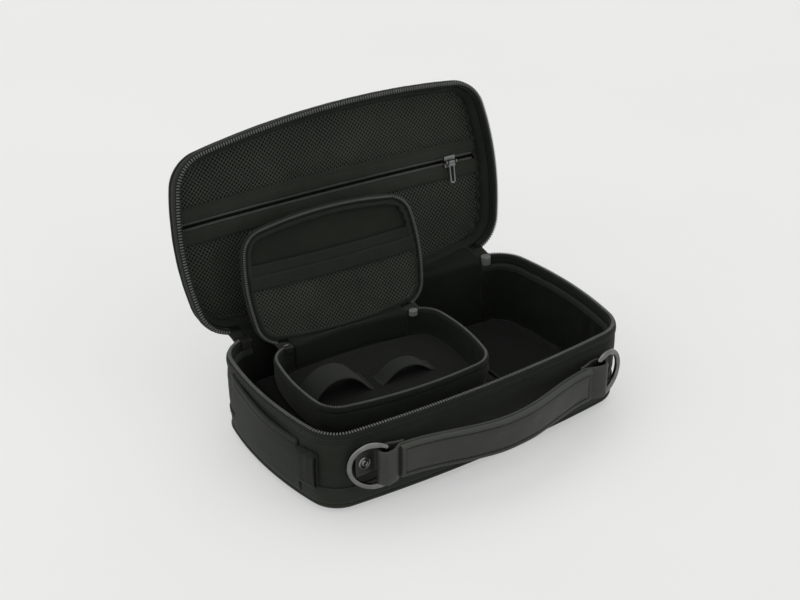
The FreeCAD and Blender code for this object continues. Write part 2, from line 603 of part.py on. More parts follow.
def make_d_ring(side, sign):
    """Round wire bent to a D: an arc of a torus closed by a straight bar."""
    wire, radius, offset = (total(n) for n in ("wire_radius", "ring_radius", "ring_offset"))
    half = math.sqrt(radius ** 2 - offset ** 2)
    sweep = 2 * (180 - math.degrees(math.acos(offset / radius)))
    arc = doc.addObject("Part::Torus", f"ring_arc_{side}")
    arc.setExpression("Radius1", "dims.ring_radius")
    arc.setExpression("Radius2", "dims.wire_radius")
    arc.Angle3 = sweep
    # the torus arc starts on +X; turned so, its opening faces the bar
    arc.Placement = Placement(Vector(0, 0, 0), Rotation(Vector(0, 0, 1), -sweep / 2))
    bar = doc.addObject("Part::Cylinder", f"ring_bar_{side}")
    bar.setExpression("Radius", "dims.wire_radius")
    bar.setExpression("Height", "2 * sqrt(dims.ring_radius ^ 2 - dims.ring_offset ^ 2)")
    bar.Placement = Placement(Vector(-offset, -half, 0), Rotation(Vector(1, 0, 0), -90))
    pieces = [arc, bar]
    for end in (-1, 1):
        ball = doc.addObject("Part::Sphere", f"ring_bend_{side}_{end + 1}")
        ball.setExpression("Radius", "dims.wire_radius")
        ball.Placement = Placement(Vector(-offset, end * half, 0), Rotation())
        pieces.append(ball)
    ring_shape = doc.addObject("Part::MultiFuse", f"d_ring_{side}")
    ring_shape.Shapes = pieces
    ring_shape.Label = f"d_ring_{side}"
    upright = Placement(Vector(0, 0, 0), Rotation(Vector(1, 0, 0), 90)) * Placement(
        Vector(offset, 0, 0), Rotation())
    yaw = total("right_ring_yaw") if sign > 0 else 180 - total("left_ring_yaw")
    ring_shape.Placement = Placement(bar_point(sign), Rotation(Vector(0, 0, 1), yaw)) * upright
    PARTS.append(ring_shape)
    doc.recompute()


def strap_arc(extra):
    """Centre and radius of the strap's plan curve, moved outwards by extra, and its end angle."""
    reach, near = total("bar_reach"), total("bar_out") + (total("strap_inner") + total("strap_outer")) / 2
    bow = total("strap_bow") - (near - total("bar_out"))
    radius = (reach ** 2 + bow ** 2) / (2 * bow)
    centre = Vector(0, radius - near - bow, 0)
    return centre, radius + extra, math.asin(reach / radius)


def curved_bar(inner, outer, half_angle, low, height):
    """A band that follows the strap's curve between two offsets."""
    centre, inner_radius, _ = strap_arc(inner)
    outer_radius = strap_arc(outer)[1]
    down = -math.pi / 2
    start, end = down - half_angle, down + half_angle

    def on(radius, angle):
        return centre + Vector(math.cos(angle), math.sin(angle), 0) * radius + Vector(0, 0, low)

    near = Part.Arc(on(inner_radius, start), on(inner_radius, down), on(inner_radius, end)).toShape()
    far = Part.Arc(on(outer_radius, start), on(outer_radius, down), on(outer_radius, end)).toShape()
    sides = [Part.makeLine(on(inner_radius, end), on(outer_radius, end)),
             Part.makeLine(on(outer_radius, start), on(inner_radius, start))]
    wire = Part.Wire(Part.__sortEdges__([near, far, *sides]))
    return Part.Face(wire).extrude(Vector(0, 0, height))


def make_handle():
    """A leather strap whose ends wrap the two bars, with a padded grip sewn on its outer face."""
    wall = total("strap_outer") - total("strap_inner")
    low, tall = total("bar_level") - total("strap_tall") / 2, total("strap_tall")
    strap = curved_bar(-wall / 2, wall / 2, strap_arc(0)[2], low, tall)
    for sign in (-1, 1):
        foot = bar_point(sign)
        foot.z = low
        strap = strap.fuse(Part.makeCylinder(total("strap_outer"), tall, foot))
    for sign in (-1, 1):
        foot = bar_point(sign)
        foot.z = low
        strap = strap.cut(Part.makeCylinder(total("strap_inner"), tall, foot))
        # a window on the wall side, which the anchor tab's web passes through
        wide, deep, high = 2 * total("window_half"), 2 * total("strap_outer"), total("window_tall")
        corner = Vector(foot.x - wide / 2, foot.y, total("bar_level") - high / 2)
        strap = strap.cut(Part.makeBox(wide, deep, high, corner))
    part_feature("handle_strap", strap.removeSplitter())
    radius = strap_arc(0)[1]
    grip = curved_bar(wall / 2 + total("seam_gap"), wall / 2 + total("seam_gap", "grip_thick"),
                      math.asin(total("grip_half") / radius),
                      total("bar_level") - total("grip_tall") / 2, total("grip_tall"))
    part_feature("handle_grip", grip.makeFillet(total("grip_round"), grip.Edges))


# ---- zip hardware ---------------------------------------------------------------------------

def ear_sides(half):
    """The left and right limits of the two ears that hold a slider's pin."""
    return ((half, "-ear_wall"), (half,)), ((f"-{half}",), (f"-{half}", "ear_wall"))


def make_pull(label, prefix):
    """A flat pull that hangs down along -Z from a barrel along X, with a slot near its end."""
    body = new_body(label)
    half, long, thick, slot = (f"{prefix}pull_{n}" for n in ("half", "long", "thick", "slot_half"))
    plate = new_sketch(body, "XZ_Plane")
    draw_box(plate, (f"-{half}",), (half,), (f"-{long}",), ())
    pad(body, plate, thick, midplane=True)
    low = [f"Edge{n}" for n, edge in enumerate(body.Shape.Edges, start=1)
           if edge.BoundBox.ZMax < 1e-4 - total(long) and edge.BoundBox.XLength < 1e-4]
    round_edges(body, low, f"{prefix}pull_round")
    barrel = new_sketch(body, "YZ_Plane")
    draw_circle(barrel, (), (), f"{prefix}barrel_radius")
    pad(body, barrel, half, half, midplane=True)
    bore = new_sketch(body, "YZ_Plane")
    draw_circle(bore, (), (), "bore_radius")
    through(body, bore)
    window = new_sketch(body, "XZ_Plane")
    draw_box(window, (f"-{slot}",), (slot,), (f"-{prefix}pull_slot_low",), (f"-{prefix}pull_slot_high",))
    through(body, window)
    return body


def make_slider(label, prefix):
    """A zip slider: a rounded block whose outer face is at y = 0, with its bail in front of it."""
    body = new_body(label)
    half, wide, tall = (f"{prefix}slider_{n}" for n in ("half", "wide", "tall"))
    block = new_sketch(body)
    draw_box(block, (f"-{half}",), (half,), (f"-{wide}",), ())
    pad(body, block, tall)
    upright = [f"Edge{n}" for n, edge in enumerate(body.Shape.Edges, start=1)
               if edge.BoundBox.ZLength > total(tall) / 2 and edge.BoundBox.YMax < -1e-4]
    round_edges(body, upright, f"{prefix}slider_round")
    out, level = f"{prefix}pin_out", f"{prefix}pin_level"
    for left, right in ear_sides(half):
        ear = new_sketch(body, lift=(level, "-ear_half"))
        draw_box(ear, left, right, (), (out, "ear_half"))
        pad(body, ear, "ear_half", "ear_half")
    bar = new_sketch(body, "YZ_Plane")
    draw_circle(bar, (out,), (level,), "pin_radius")
    pad(body, bar, half, half, midplane=True)


def make_end_tab(label, prefix):
    """A moulded six-sided tab that closes the end of a zip; its outer face is at y = 0."""
    body = new_body(label)
    half, nose, side, tall = (f"{prefix}end_tab_{n}" for n in ("half", "nose", "side", "tall"))
    near, far = (f"-{half}", nose), (half, f"-{nose}")
    middle, back = (f"-{side}",), (f"-{side}", f"-{side}")
    sketch = new_sketch(body)
    draw_polygon(sketch, [((f"-{half}",), middle), (near, back), (far, back), ((half,), middle),
                          (far, ()), (near, ())])
    pad(body, sketch, tall)
    round_edges(body, [f"Edge{n}" for n in range(1, len(body.Shape.Edges) + 1)], "end_tab_round")


def make_zip_ends(family, prefix, gap, height, labels, place):
    """The end tab at the right end of a rim's zip, and the slider with its pull at the left end."""
    tab, slider, pull = labels
    reach, top = total(gap), total(height, "-rim_drop")
    rim = OUTLINES[family].edge_y(reach)
    tab_x = reach - total(f"{prefix}end_tab_half", "stop_gap")
    slider_x = total(f"{prefix}slider_half", "stop_gap") - reach
    make_end_tab(tab, prefix)
    move_last(place * Placement(Vector(tab_x, rim, top - total(f"{prefix}end_tab_tall")), Rotation()))
    at = Vector(slider_x, rim, top - total(f"{prefix}slider_tall"))
    make_slider(slider, prefix)
    move_last(place * Placement(at, Rotation()))
    make_pull(pull, prefix)
    hook = at + Vector(0, total(f"{prefix}pin_out"), total(f"{prefix}pin_level"))
    move_last(place * Placement(hook, Rotation()))


# ---- lid, modelled shut with its rim at z = 0 and then swung open ------------------------------

def make_lid_shells():
    low, high = ("rim_band",), ("lid_depth",)
    cup("lid_shell", "lid", (), ("shell_wall",), low, high, ("shell_wall",),
        ("lid_round",), ("lid_inside_round",), upside_down=True)
    cup("lid_lining", "lid", ("shell_wall", "seam_gap"), ("lining_wall",), low,
        (*high, "-shell_wall", "-seam_gap"), ("lining_wall",),
        ("lid_inside_round", "-seam_gap"), ("lid_inside_round", "-seam_gap", "-lining_wall"),
        upside_down=True)
    move_last(LID_PLACE, 2)


def make_lid_trim():
    gap, beyond = ("zip_gap_half",), ("lid_width",)
    inside = ("shell_wall", "seam_gap", "lining_wall", "seam_gap")
    ring("lid_top_welt", "lid", ("-welt_wall",), ("-seam_gap",),
         ("lid_welt_level",), ("lid_welt_level", "welt_tall"))
    ring("lid_zip_tape", "lid", ("tape_inset",), ("tape_inset", "tape_wall"),
         (), ("rim_band", "-seam_gap"), gap, beyond)
    ring("lid_zip_teeth", "lid", ("tape_inset", "tape_wall", "seam_gap"),
         ("tape_inset", "tape_wall", "seam_gap", "teeth_wall"), (), ("teeth_wall",), gap, beyond)
    strip("lid_hinge_strip", "lid", "back", ("gusset_inset",), ("gusset_inset", "shell_wall"),
          ("gusset_half",), ("seam_gap",), ("rim_band", "-seam_gap"))
    ring("lid_mesh_frame", "lid", inside, ("panel_inset", "-seam_gap"),
         ("panel_level", "-panel_thick"), ("panel_level", "panel_thick"))
    move_last(LID_PLACE, 5)


def pocket_band(label, keeps):
    """A thin panel inside the mesh frame, cut down to the tilted bands that it keeps."""
    body = new_body(label)
    sketch = new_sketch(body, lift=("panel_level",))
    draw_outline(sketch, "lid", "panel_inset")
    pad(body, sketch, "panel_thick")
    for low, high in keeps:
        away = new_sketch(body, lift=("panel_level",), turn=total("pocket_tilt"))
        draw_box(away, ("-lid_length",), ("lid_length",), low, high)
        pocket(body, away, "panel_thick")
    return body


def make_lid_pocket():
    """Two mesh panels, two tape bands and two rows of teeth, either side of the pocket's slot."""
    far, line = ("lid_width",), ("-pocket_line",)
    upper = (*line, "pocket_tape_half")
    lower = (*line, "-pocket_tape_half")
    slot_top = (*line, "pocket_slot_half", "pocket_teeth_wide", "seam_gap")
    slot_low = (*line, "-pocket_slot_half", "-pocket_teeth_wide", "-seam_gap")
    pocket_band("lid_mesh_upper", [(negated(far), upper)])
    pocket_band("lid_mesh_lower", [(lower, far)])
    pocket_band("pocket_tape_upper", [(negated(far), slot_top), ((*upper, "-seam_gap"), far)])
    pocket_band("pocket_tape_lower", [(slot_low, far), (negated(far), (*lower, "seam_gap"))])
    teeth = new_body("pocket_teeth_upper")
    sketch = new_sketch(teeth, lift=("panel_level",), turn=total("pocket_tilt"))
    draw_box(sketch, ("-pocket_teeth_half",), ("pocket_teeth_half",), (*line, "pocket_slot_half"),
             (*line, "pocket_slot_half", "pocket_teeth_wide"))
    pad(teeth, sketch, "panel_thick")
    teeth = new_body("pocket_teeth_lower")
    sketch = new_sketch(teeth, lift=("panel_level",), turn=total("pocket_tilt"))
    draw_box(sketch, ("-pocket_teeth_half",), ("pocket_teeth_half",),
             (*line, "-pocket_slot_half", "-pocket_teeth_wide"), (*line, "-pocket_slot_half"))
    pad(teeth, sketch, "panel_thick")
    move_last(LID_PLACE, 6)


def make_pocket_slider():
    """A plate each side of the panel, joined by a neck in the slot, and a pull hanging in front.

    It is made in the pocket's own frame: the panel's front face is at z = 0, with the pouch
    behind it, X runs along the zip and +Y is down when the lid stands open.
    """
    body = new_body("pocket_slider")
    half, side = "pocket_slider_half", "pocket_slider_side"
    gap, plate = "pocket_slider_gap", "pocket_plate_thick"
    neck_half, neck_side = "pocket_neck_half", "pocket_neck_side"
    for low, thick, across, along in (
            ((f"-{gap}", f"-{plate}"), (plate,), half, side),
            ((f"-{gap}", f"-{plate}"), (plate, gap, gap, "panel_thick"), neck_half, neck_side),
            (("panel_thick", gap), (plate,), half, side)):
        sketch = new_sketch(body, lift=low)
        draw_box(sketch, (f"-{across}",), (across,), (f"-{along}",), (along,))
        pad(body, sketch, *thick)
    level = (f"-{gap}", f"-{plate}", "-pocket_pin_out")
    for left, right in ear_sides(half):
        ear = new_sketch(body, lift=(*level, "-ear_half"))
        draw_box(ear, left, right, ("-ear_half",), ("ear_half",))
        pad(body, ear, "pocket_pin_out", "ear_half")
    bar = new_sketch(body, "YZ_Plane")
    draw_circle(bar, (), level, "pin_radius")
    pad(body, bar, half, half, midplane=True)
    along = turned_about(Vector(0, 0, 0), Vector(0, 0, 1), total("pocket_tilt"))
    rest = Vector(total("pocket_slider_rest"), -total("pocket_line"), total("panel_level"))
    move_last(LID_PLACE * along * Placement(rest, Rotation()))
    make_pull("pocket_pull", "pocket_")
    hook = rest + Vector(0, 0, total(*level))
    move_last(LID_PLACE * along * Placement(hook, Rotation(Vector(1, 0, 0), 90)))


# ---- shelf and small case ---------------------------------------------------------------------

def make_shelf():
    """A padded panel folded to a bridge: a top that the small case stands on, and two legs."""
    body = new_body("shelf_divider")
    sketch = new_sketch(body, "XZ_Plane")
    floor = ("shell_wall", "seam_gap", "lining_wall", "seam_gap", "floor_pad_thick", "seam_gap")
    draw_box(sketch, ("shelf_left",), ("shelf_right",), floor, ("shelf_top", "-seam_gap"))
    pad(body, sketch, "shelf_back", "-shelf_front")
    room = new_sketch(body, "XZ_Plane")
    draw_box(room, ("shelf_left", "shelf_wall"), ("shelf_right", "-shelf_wall"), floor,
             ("shelf_top", "-seam_gap", "-shelf_wall"))
    through(body, room)
    box = body.Shape.BoundBox
    body.Placement = Placement(Vector(0, total("shelf_back") - box.YMax, 0), Rotation())
    doc.recompute()


def make_mini_base():
    wall_top = ("mini_height", "-mini_band")
    inside = ("mini_shell_wall", "seam_gap", "mini_lining_wall", "seam_gap")
    gap, beyond = ("mini_gap_half",), ("mini_width",)
    cup("mini_base_shell", "mini", (), ("mini_shell_wall",), (), wall_top, ("mini_shell_wall",),
        ("mini_bottom_round",), ("mini_inside_round",))
    cup("mini_base_lining", "mini", ("mini_shell_wall", "seam_gap"), ("mini_lining_wall",),
        ("mini_shell_wall", "seam_gap"), wall_top, ("mini_lining_wall",),
        ("mini_inside_round", "-seam_gap"), ("mini_inside_round", "-seam_gap", "-mini_lining_wall"))
    panel = new_body("mini_floor_panel")
    sketch = new_sketch(panel, lift=inside)
    draw_outline(sketch, "mini", "mini_panel_inset")
    pad(panel, sketch, "mini_panel_thick")
    ring("mini_base_zip_tape", "mini", ("tape_inset",), ("tape_inset", "mini_tape_wall"),
         (*wall_top, "seam_gap"), ("mini_height", "-seam_gap"), gap, beyond)
    ring("mini_base_zip_teeth", "mini", ("tape_inset", "mini_tape_wall", "seam_gap"),
         ("tape_inset", "mini_tape_wall", "seam_gap", "mini_teeth_wall"),
         ("mini_height", "-mini_teeth_wall"), ("mini_height",), gap, beyond)
    strip("mini_hinge_gusset", "mini", "back", ("gusset_inset",), ("gusset_inset", "mini_gusset_wall"),
          ("mini_gusset_half",), (*wall_top, "seam_gap"), (*wall_top, "mini_gusset_tall"))
    strip("mini_hinge_flap", "mini", "back", inside, (*inside, "mini_flap_wall"), ("mini_flap_half",),
          ("mini_inside_round", "mini_shell_wall"), wall_top)
    move_last(MINI_PLACE, 7)


def make_band(label, name):
    """An elastic band arched over the tray, with its two feet sewn to the floor panel."""
    left, right, rise = total(f"{name}_left"), total(f"{name}_right"), total(f"{name}_rise")
    wall, foot = total("elastic_wall"), total("band_foot")
    floor = total("mini_shell_wall", "seam_gap", "mini_lining_wall", "seam_gap",
                  "mini_panel_thick", "seam_gap")
    front = total(f"{name}_y") - total(f"{name}_wide") / 2

    def face(shift):
        half = (right - left) / 2 - foot - shift
        middle = (left + right) / 2
        top = floor + rise - shift
        arch = Part.Arc(Vector(middle - half, front, floor), Vector(middle, front, top),
                        Vector(middle + half, front, floor)).toShape()
        base = Part.makeLine(Vector(middle + half, front, floor), Vector(middle - half, front, floor))
        return Part.Face(Part.Wire([arch, base]))

    wide = Vector(0, total(f"{name}_wide"), 0)
    band = face(0).extrude(wide).cut(face(wall).extrude(wide))
    for start in (left, right - foot - wall):
        band = band.fuse(Part.makeBox(foot + wall, wide.y, wall, Vector(start, front, floor)))
    part_feature(label, band.removeSplitter())
    move_last(MINI_PLACE)


def make_cap():
    """The small case's lid, modelled shut with its rim at z = 0 and then swung open."""
    low, high = ("cap_band",), ("cap_depth",)
    gap, beyond = ("mini_gap_half",), ("cap_width",)
    cup("mini_lid_shell", "cap", (), ("mini_shell_wall",), low, high, ("mini_shell_wall",),
        ("cap_round",), ("cap_inside_round",), upside_down=True)
    cup("mini_lid_lining", "cap", ("mini_shell_wall", "seam_gap"), ("mini_lining_wall",), low,
        (*high, "-mini_shell_wall", "-seam_gap"), ("mini_lining_wall",),
        ("cap_inside_round", "-seam_gap"), ("cap_inside_round", "-seam_gap", "-mini_lining_wall"),
        upside_down=True)
    ring("mini_lid_zip_tape", "cap", ("tape_inset",), ("tape_inset", "mini_tape_wall"),
         (), ("cap_band", "-seam_gap"), gap, beyond)
    ring("mini_lid_zip_teeth", "cap", ("tape_inset", "mini_tape_wall", "seam_gap"),
         ("tape_inset", "mini_tape_wall", "seam_gap", "mini_teeth_wall"), (), ("mini_teeth_wall",),
         gap, beyond)
    strip("mini_lid_hinge_strip", "cap", "back", ("gusset_inset",), ("gusset_inset", "mini_shell_wall"),
          ("mini_gusset_half",), ("seam_gap",), ("cap_band", "-seam_gap"))
    top, low = ("cap_mesh_top",), ("cap_mesh_top", "-cap_elastic_wide")
    far = ("cap_width",)
    cap_panel("mini_mesh_pocket", "cap_mesh_level", "cap_mesh_thick", [(negated(far), top)])
    cap_panel("mini_mesh_elastic", "cap_mesh_level", "cap_elastic_wall",
              [((*top, "-seam_gap"), far), (negated(far), low)])
    cap_panel("mini_rear_elastic", "cap_rear_level", "cap_mesh_thick",
              [((*low, "-seam_gap"), far), (negated(far), (*low, "-cap_rear_wide"))])
    move_last(CAP_PLACE, 8)


def cap_panel(label, level, thick, cuts):
    """A flat panel across the small lid, cut down to one band."""
    body = new_body(label)
    sketch = new_sketch(body, lift=(level,))
    draw_outline(sketch, "cap", "cap_mesh_inset")
    pad(body, sketch, thick)
    for low, high in cuts:
        away = new_sketch(body, lift=(level,))
        draw_box(away, ("-cap_length",), ("cap_length",), low, high)
        pocket(body, away, thick)


# ---- the whole pouch --------------------------------------------------------------------------

def check(document):
    """Stop if any object failed, or any sub-part is empty or broken."""
    for item in document.Objects:
        if {"Invalid", "Error"} & set(item.State):
            raise RuntimeError(f"{item.Label}: {item.State}")
    for item in PARTS:
        if item.Shape.isNull() or not item.Shape.isValid() or item.Shape.Volume <= 0:
            raise RuntimeError(f"{item.Label}: bad shape")


def export():
    os.makedirs("parts", exist_ok=True)
    for item in PARTS:
        item.Shape.exportStep(f"parts/{item.Label}.step")


make_base_shells()
make_base_trim()
make_end_pocket()
make_side_loop()
for ring_side, ring_sign in (("left", -1), ("right", 1)):
    make_anchor_tab(ring_side, ring_sign)
    make_d_ring(ring_side, ring_sign)
make_rivets()
make_handle()
make_zip_ends("base", "", "zip_gap_half", "base_height", ("zip_end_tab", "main_slider", "main_pull"),
              Placement())
make_lid_shells()
make_lid_trim()
make_lid_pocket()
make_pocket_slider()
make_shelf()
make_mini_base()
make_band("mini_wide_band", "wide_band")
make_band("mini_stick_band", "stick_band")
make_zip_ends("mini", "mini_", "mini_gap_half", "mini_height",
              ("mini_zip_end_tab", "mini_slider", "mini_pull"), MINI_PLACE)
make_cap()
doc.recompute()
check(doc)
export()
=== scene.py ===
import json
import math
from collections import namedtuple

import bmesh
import bpy
import numpy as np
from mathutils import Matrix, Vector


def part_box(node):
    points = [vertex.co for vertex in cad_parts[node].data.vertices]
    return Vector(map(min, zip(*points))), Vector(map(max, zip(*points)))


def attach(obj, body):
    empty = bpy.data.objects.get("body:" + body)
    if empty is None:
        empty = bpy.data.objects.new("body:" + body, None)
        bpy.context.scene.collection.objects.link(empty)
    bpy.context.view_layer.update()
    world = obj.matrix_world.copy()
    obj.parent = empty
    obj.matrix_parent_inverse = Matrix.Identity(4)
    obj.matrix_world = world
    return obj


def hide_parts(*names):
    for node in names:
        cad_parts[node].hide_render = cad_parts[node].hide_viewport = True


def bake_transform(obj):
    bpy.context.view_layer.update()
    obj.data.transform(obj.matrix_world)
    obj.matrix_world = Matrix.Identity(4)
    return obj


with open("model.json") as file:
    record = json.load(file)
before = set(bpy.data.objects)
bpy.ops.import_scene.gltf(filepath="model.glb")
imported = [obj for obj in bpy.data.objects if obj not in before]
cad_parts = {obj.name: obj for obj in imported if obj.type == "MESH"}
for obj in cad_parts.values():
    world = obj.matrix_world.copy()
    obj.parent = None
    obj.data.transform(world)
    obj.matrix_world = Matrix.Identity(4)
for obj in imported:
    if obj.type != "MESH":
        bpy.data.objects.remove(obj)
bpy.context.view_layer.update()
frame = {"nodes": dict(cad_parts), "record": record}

# The looks of a cable organizer pouch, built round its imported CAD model.
# Shapes are worked out in millimetres, each in the frame of the part that it is sewn to (the base,
# the shut lid, the small case or its shut lid), then placed in the row frame, in metres.

MM = 0.001


# ---- outlines -----------------------------------------------------------------------------------

class Outline:
    """A rectangle whose sides are shallow arcs, joined by tangent corner arcs. s runs from 0 at
    the middle of the +X side, anticlockwise, to 1."""

    def __init__(self, length, width, long_bow, short_bow, corner):
        long_radius = (length / 2) ** 2 / (2 * long_bow) + long_bow / 2
        short_radius = (width / 2) ** 2 / (2 * short_bow) + short_bow / 2
        top, side = width / 2 - long_radius, length / 2 - short_radius
        reach = math.hypot(side, top)
        along = ((long_radius - corner) ** 2 - (short_radius - corner) ** 2 + reach ** 2) / (2 * reach)
        across = math.sqrt((long_radius - corner) ** 2 - along ** 2)
        unit = np.array((side, -top)) / reach
        x, y = np.array((0, top)) + unit * along + np.array((unit[1], -unit[0])) * across
        low, high, turn = math.atan2(y, x - side), math.atan2(y - top, x), math.pi
        self.arcs = [
            (side, 0, short_radius, 0, low), (x, y, corner, low, high),
            (0, top, long_radius, high, turn - high), (-x, y, corner, turn - high, turn - low),
            (-side, 0, short_radius, turn - low, turn + low), (-x, -y, corner, turn + low, turn + high),
            (0, -top, long_radius, turn + high, 2 * turn - high),
            (x, -y, corner, 2 * turn - high, 2 * turn - low),
            (side, 0, short_radius, 2 * turn - low, 2 * turn)]
        lengths = [radius * (end - start) for _, _, radius, start, end in self.arcs]
        self.ends = np.cumsum([0.0, *lengths])
        self.length = self.ends[-1]

    def at(self, s, offset=0.0):
        """Points at s, moved inwards by offset, and the outward normals there."""
        run = (np.asarray(s, float) % 1.0) * self.length
        which = np.clip(np.searchsorted(self.ends, run, side="right") - 1, 0, len(self.arcs) - 1)
        arc = np.array(self.arcs)[which]
        angle = arc[:, 3] + (run - self.ends[which]) / arc[:, 2]
        normal = np.stack([np.cos(angle), np.sin(angle)], axis=1)
        return arc[:, :2] + normal * (arc[:, 2] - offset)[:, None], normal

    def back(self, x, offset=0.0):
        """How far out the +Y side lies at x."""
        s = np.linspace(0.02, 0.48, 2000)
        points, _ = self.at(s, offset)
        return np.interp(x, points[::-1, 0], points[::-1, 1])

    def side(self, y, offset=0.0):
        """How far out the +X side lies at y."""
        points, _ = self.at(np.linspace(0, 1, 900, endpoint=False), offset)
        points = points[points[:, 0] >= 0]
        points = points[np.argsort(points[:, 1])]
        return np.interp(y, points[:, 1], points[:, 0])

    def s_at(self, x):
        """The s of the +Y side at x."""
        s = np.linspace(0.02, 0.48, 4000)
        points, _ = self.at(s)
        return float(np.interp(-x, -points[:, 0], s))


# ---- the four parts that cloth is sewn to -------------------------------------------------------

JOINTS = {joint["name"]: joint for joint in frame["record"]["behaviour"]["joints"]}
Part = namedtuple("Part", "body place line")  # the body it rides, where its frame stands, its outline


def size_of(node):
    low, high = (Vector(corner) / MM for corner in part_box(node))
    return high - low


def opened(joint, shut):
    """Where a lid stands at rest, from where it stands shut: turned open about its hinge."""
    hinge = JOINTS[joint]
    centre = Matrix.Translation(Vector(hinge["pos_m"]) / MM)
    turn = Matrix.Rotation(math.radians(-hinge["range_deg"][0]), 4, Vector(hinge["axis"]))
    return centre @ turn @ centre.inverted() @ shut


RIM_GAP = 0.4  # between the teeth of a shut lid and its base
BASE_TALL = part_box("base_zip_teeth")[1][2] / MM
BASE_SIZE = size_of("base_shell")
BASE_CORNER = 24.0
LID_LENGTH, LID_WIDTH = size_of("lid_shell").x, 139.5
LID_BACK = (BASE_SIZE.y - LID_WIDTH) / 2 + 0.15
BASE = Part("base", Matrix.Identity(4), Outline(BASE_SIZE.x, BASE_SIZE.y, 8.2, 10.6, BASE_CORNER))
LID = Part("lid", opened("lid_hinge", Matrix.Translation((0, LID_BACK, BASE_TALL + RIM_GAP))),
           Outline(LID_LENGTH, LID_WIDTH, 12.0, 13.0, 27.0))

MINI_LENGTH, MINI_WIDTH, CAP_WIDTH, MINI_TALL = 132.0, 92.0, 87.0, 24.0
MINI_BOWS, MINI_CORNER = (7.5, 7.2), 18.0
MINI_PIVOT = Vector((0, MINI_WIDTH / 2 - 2.4, MINI_TALL - 3.4))


def mini_place():
    """The small case's frame: turned with its hinge's axis, its pivot on the hinge."""
    hinge = JOINTS["mini_lid_hinge"]
    turn = math.atan2(-hinge["axis"][1], -hinge["axis"][0])
    return (Matrix.Translation(Vector(hinge["pos_m"]) / MM) @ Matrix.Rotation(turn, 4, "Z")
            @ Matrix.Translation(-MINI_PIVOT))


MINI = Part("mini_case", mini_place(), Outline(MINI_LENGTH, MINI_WIDTH, *MINI_BOWS, MINI_CORNER))
CAP_SHUT = Matrix.Translation((0, (MINI_WIDTH - CAP_WIDTH) / 2, MINI_TALL + RIM_GAP))
CAP = Part("mini_lid", opened("mini_lid_hinge", MINI.place @ CAP_SHUT),
           Outline(MINI_LENGTH, CAP_WIDTH, *MINI_BOWS, MINI_CORNER))


# ---- materials ----------------------------------------------------------------------------------

class Nodes:
    """A short way to write a shader's node tree."""

    def __init__(self, name):
        self.material = bpy.data.materials.new(name)
        self.material.use_nodes = True
        self.tree = self.material.node_tree
        self.shader = next(n for n in self.tree.nodes if n.type == "BSDF_PRINCIPLED")

    def add(self, kind, settings=(), **inputs):
        node = self.tree.nodes.new(f"ShaderNode{kind}")
        for name, value in dict(settings).items():
            setattr(node, name, value)
        for name, value in inputs.items():
            self.set(node, name.replace("_", " "), value)
        return node

    def set(self, node, name, value):
        socket = node.inputs[int(name)] if name.isdigit() else node.inputs[name]
        if isinstance(value, bpy.types.NodeSocket):
            self.tree.links.new(value, socket)
        else:
            socket.default_value = value

    def maths(self, operation, first, second=0.0):
        node = self.tree.nodes.new("ShaderNodeMath")
        node.operation = operation
        self.set(node, "0", first)
        self.set(node, "1", second)
        return node.outputs[0]

    def look(self, **inputs):
        """Sets the shader's own sockets."""
        for name, value in inputs.items():
            self.set(self.shader, name.replace("_", " "), value)

    def times(self, first, second):
        return self.maths("MULTIPLY", first, second)

    def plus(self, first, second):
        return self.maths("ADD", first, second)

    def sine(self, value):
        return self.maths("SINE", value)

    def place(self):
        return self.add("TexCoord").outputs["Object"]

    def noise(self, vector, scale, detail=3.0, rough=0.55):
        node = self.add("TexNoise", Vector=vector, Scale=scale, Detail=detail, Roughness=rough)
        return node.outputs["Fac"]

    def ramp(self, value, low, high, dark, light):
        node = self.tree.nodes.new("ShaderNodeValToRGB")
        self.set(node, "Fac", value)
        node.color_ramp.elements[0].position, node.color_ramp.elements[1].position = low, high
        node.color_ramp.elements[0].color = (*dark, 1)
        node.color_ramp.elements[1].color = (*light, 1)
        return node.outputs["Color"]

    def spread(self, value, low, high):
        """A 0 to 1 value moved to run from low to high."""
        node = self.add("MapRange", Value=value, To_Min=low, To_Max=high)
        return node.outputs["Result"]

    def worn(self, shade, light, amount, low=0.5, high=0.62):
        """The shade with its outward edges rubbed lighter."""
        edge = self.ramp(self.add("NewGeometry").outputs["Pointiness"], low, high, (0, 0, 0), (1, 1, 1))
        mix = self.add("MixRGB", Fac=self.times(edge, amount), Color1=shade, Color2=(*light, 1))
        return mix.outputs["Color"]

    def bump(self, height, distance, strength=1.0, under=None):
        inputs = {"Height": height, "Distance": distance, "Strength": strength}
        if under is not None:
            inputs["Normal"] = under
        return self.add("Bump", **inputs).outputs["Normal"]


def tint(colour, factor):
    return tuple(min(1.0, channel * factor) for channel in colour)


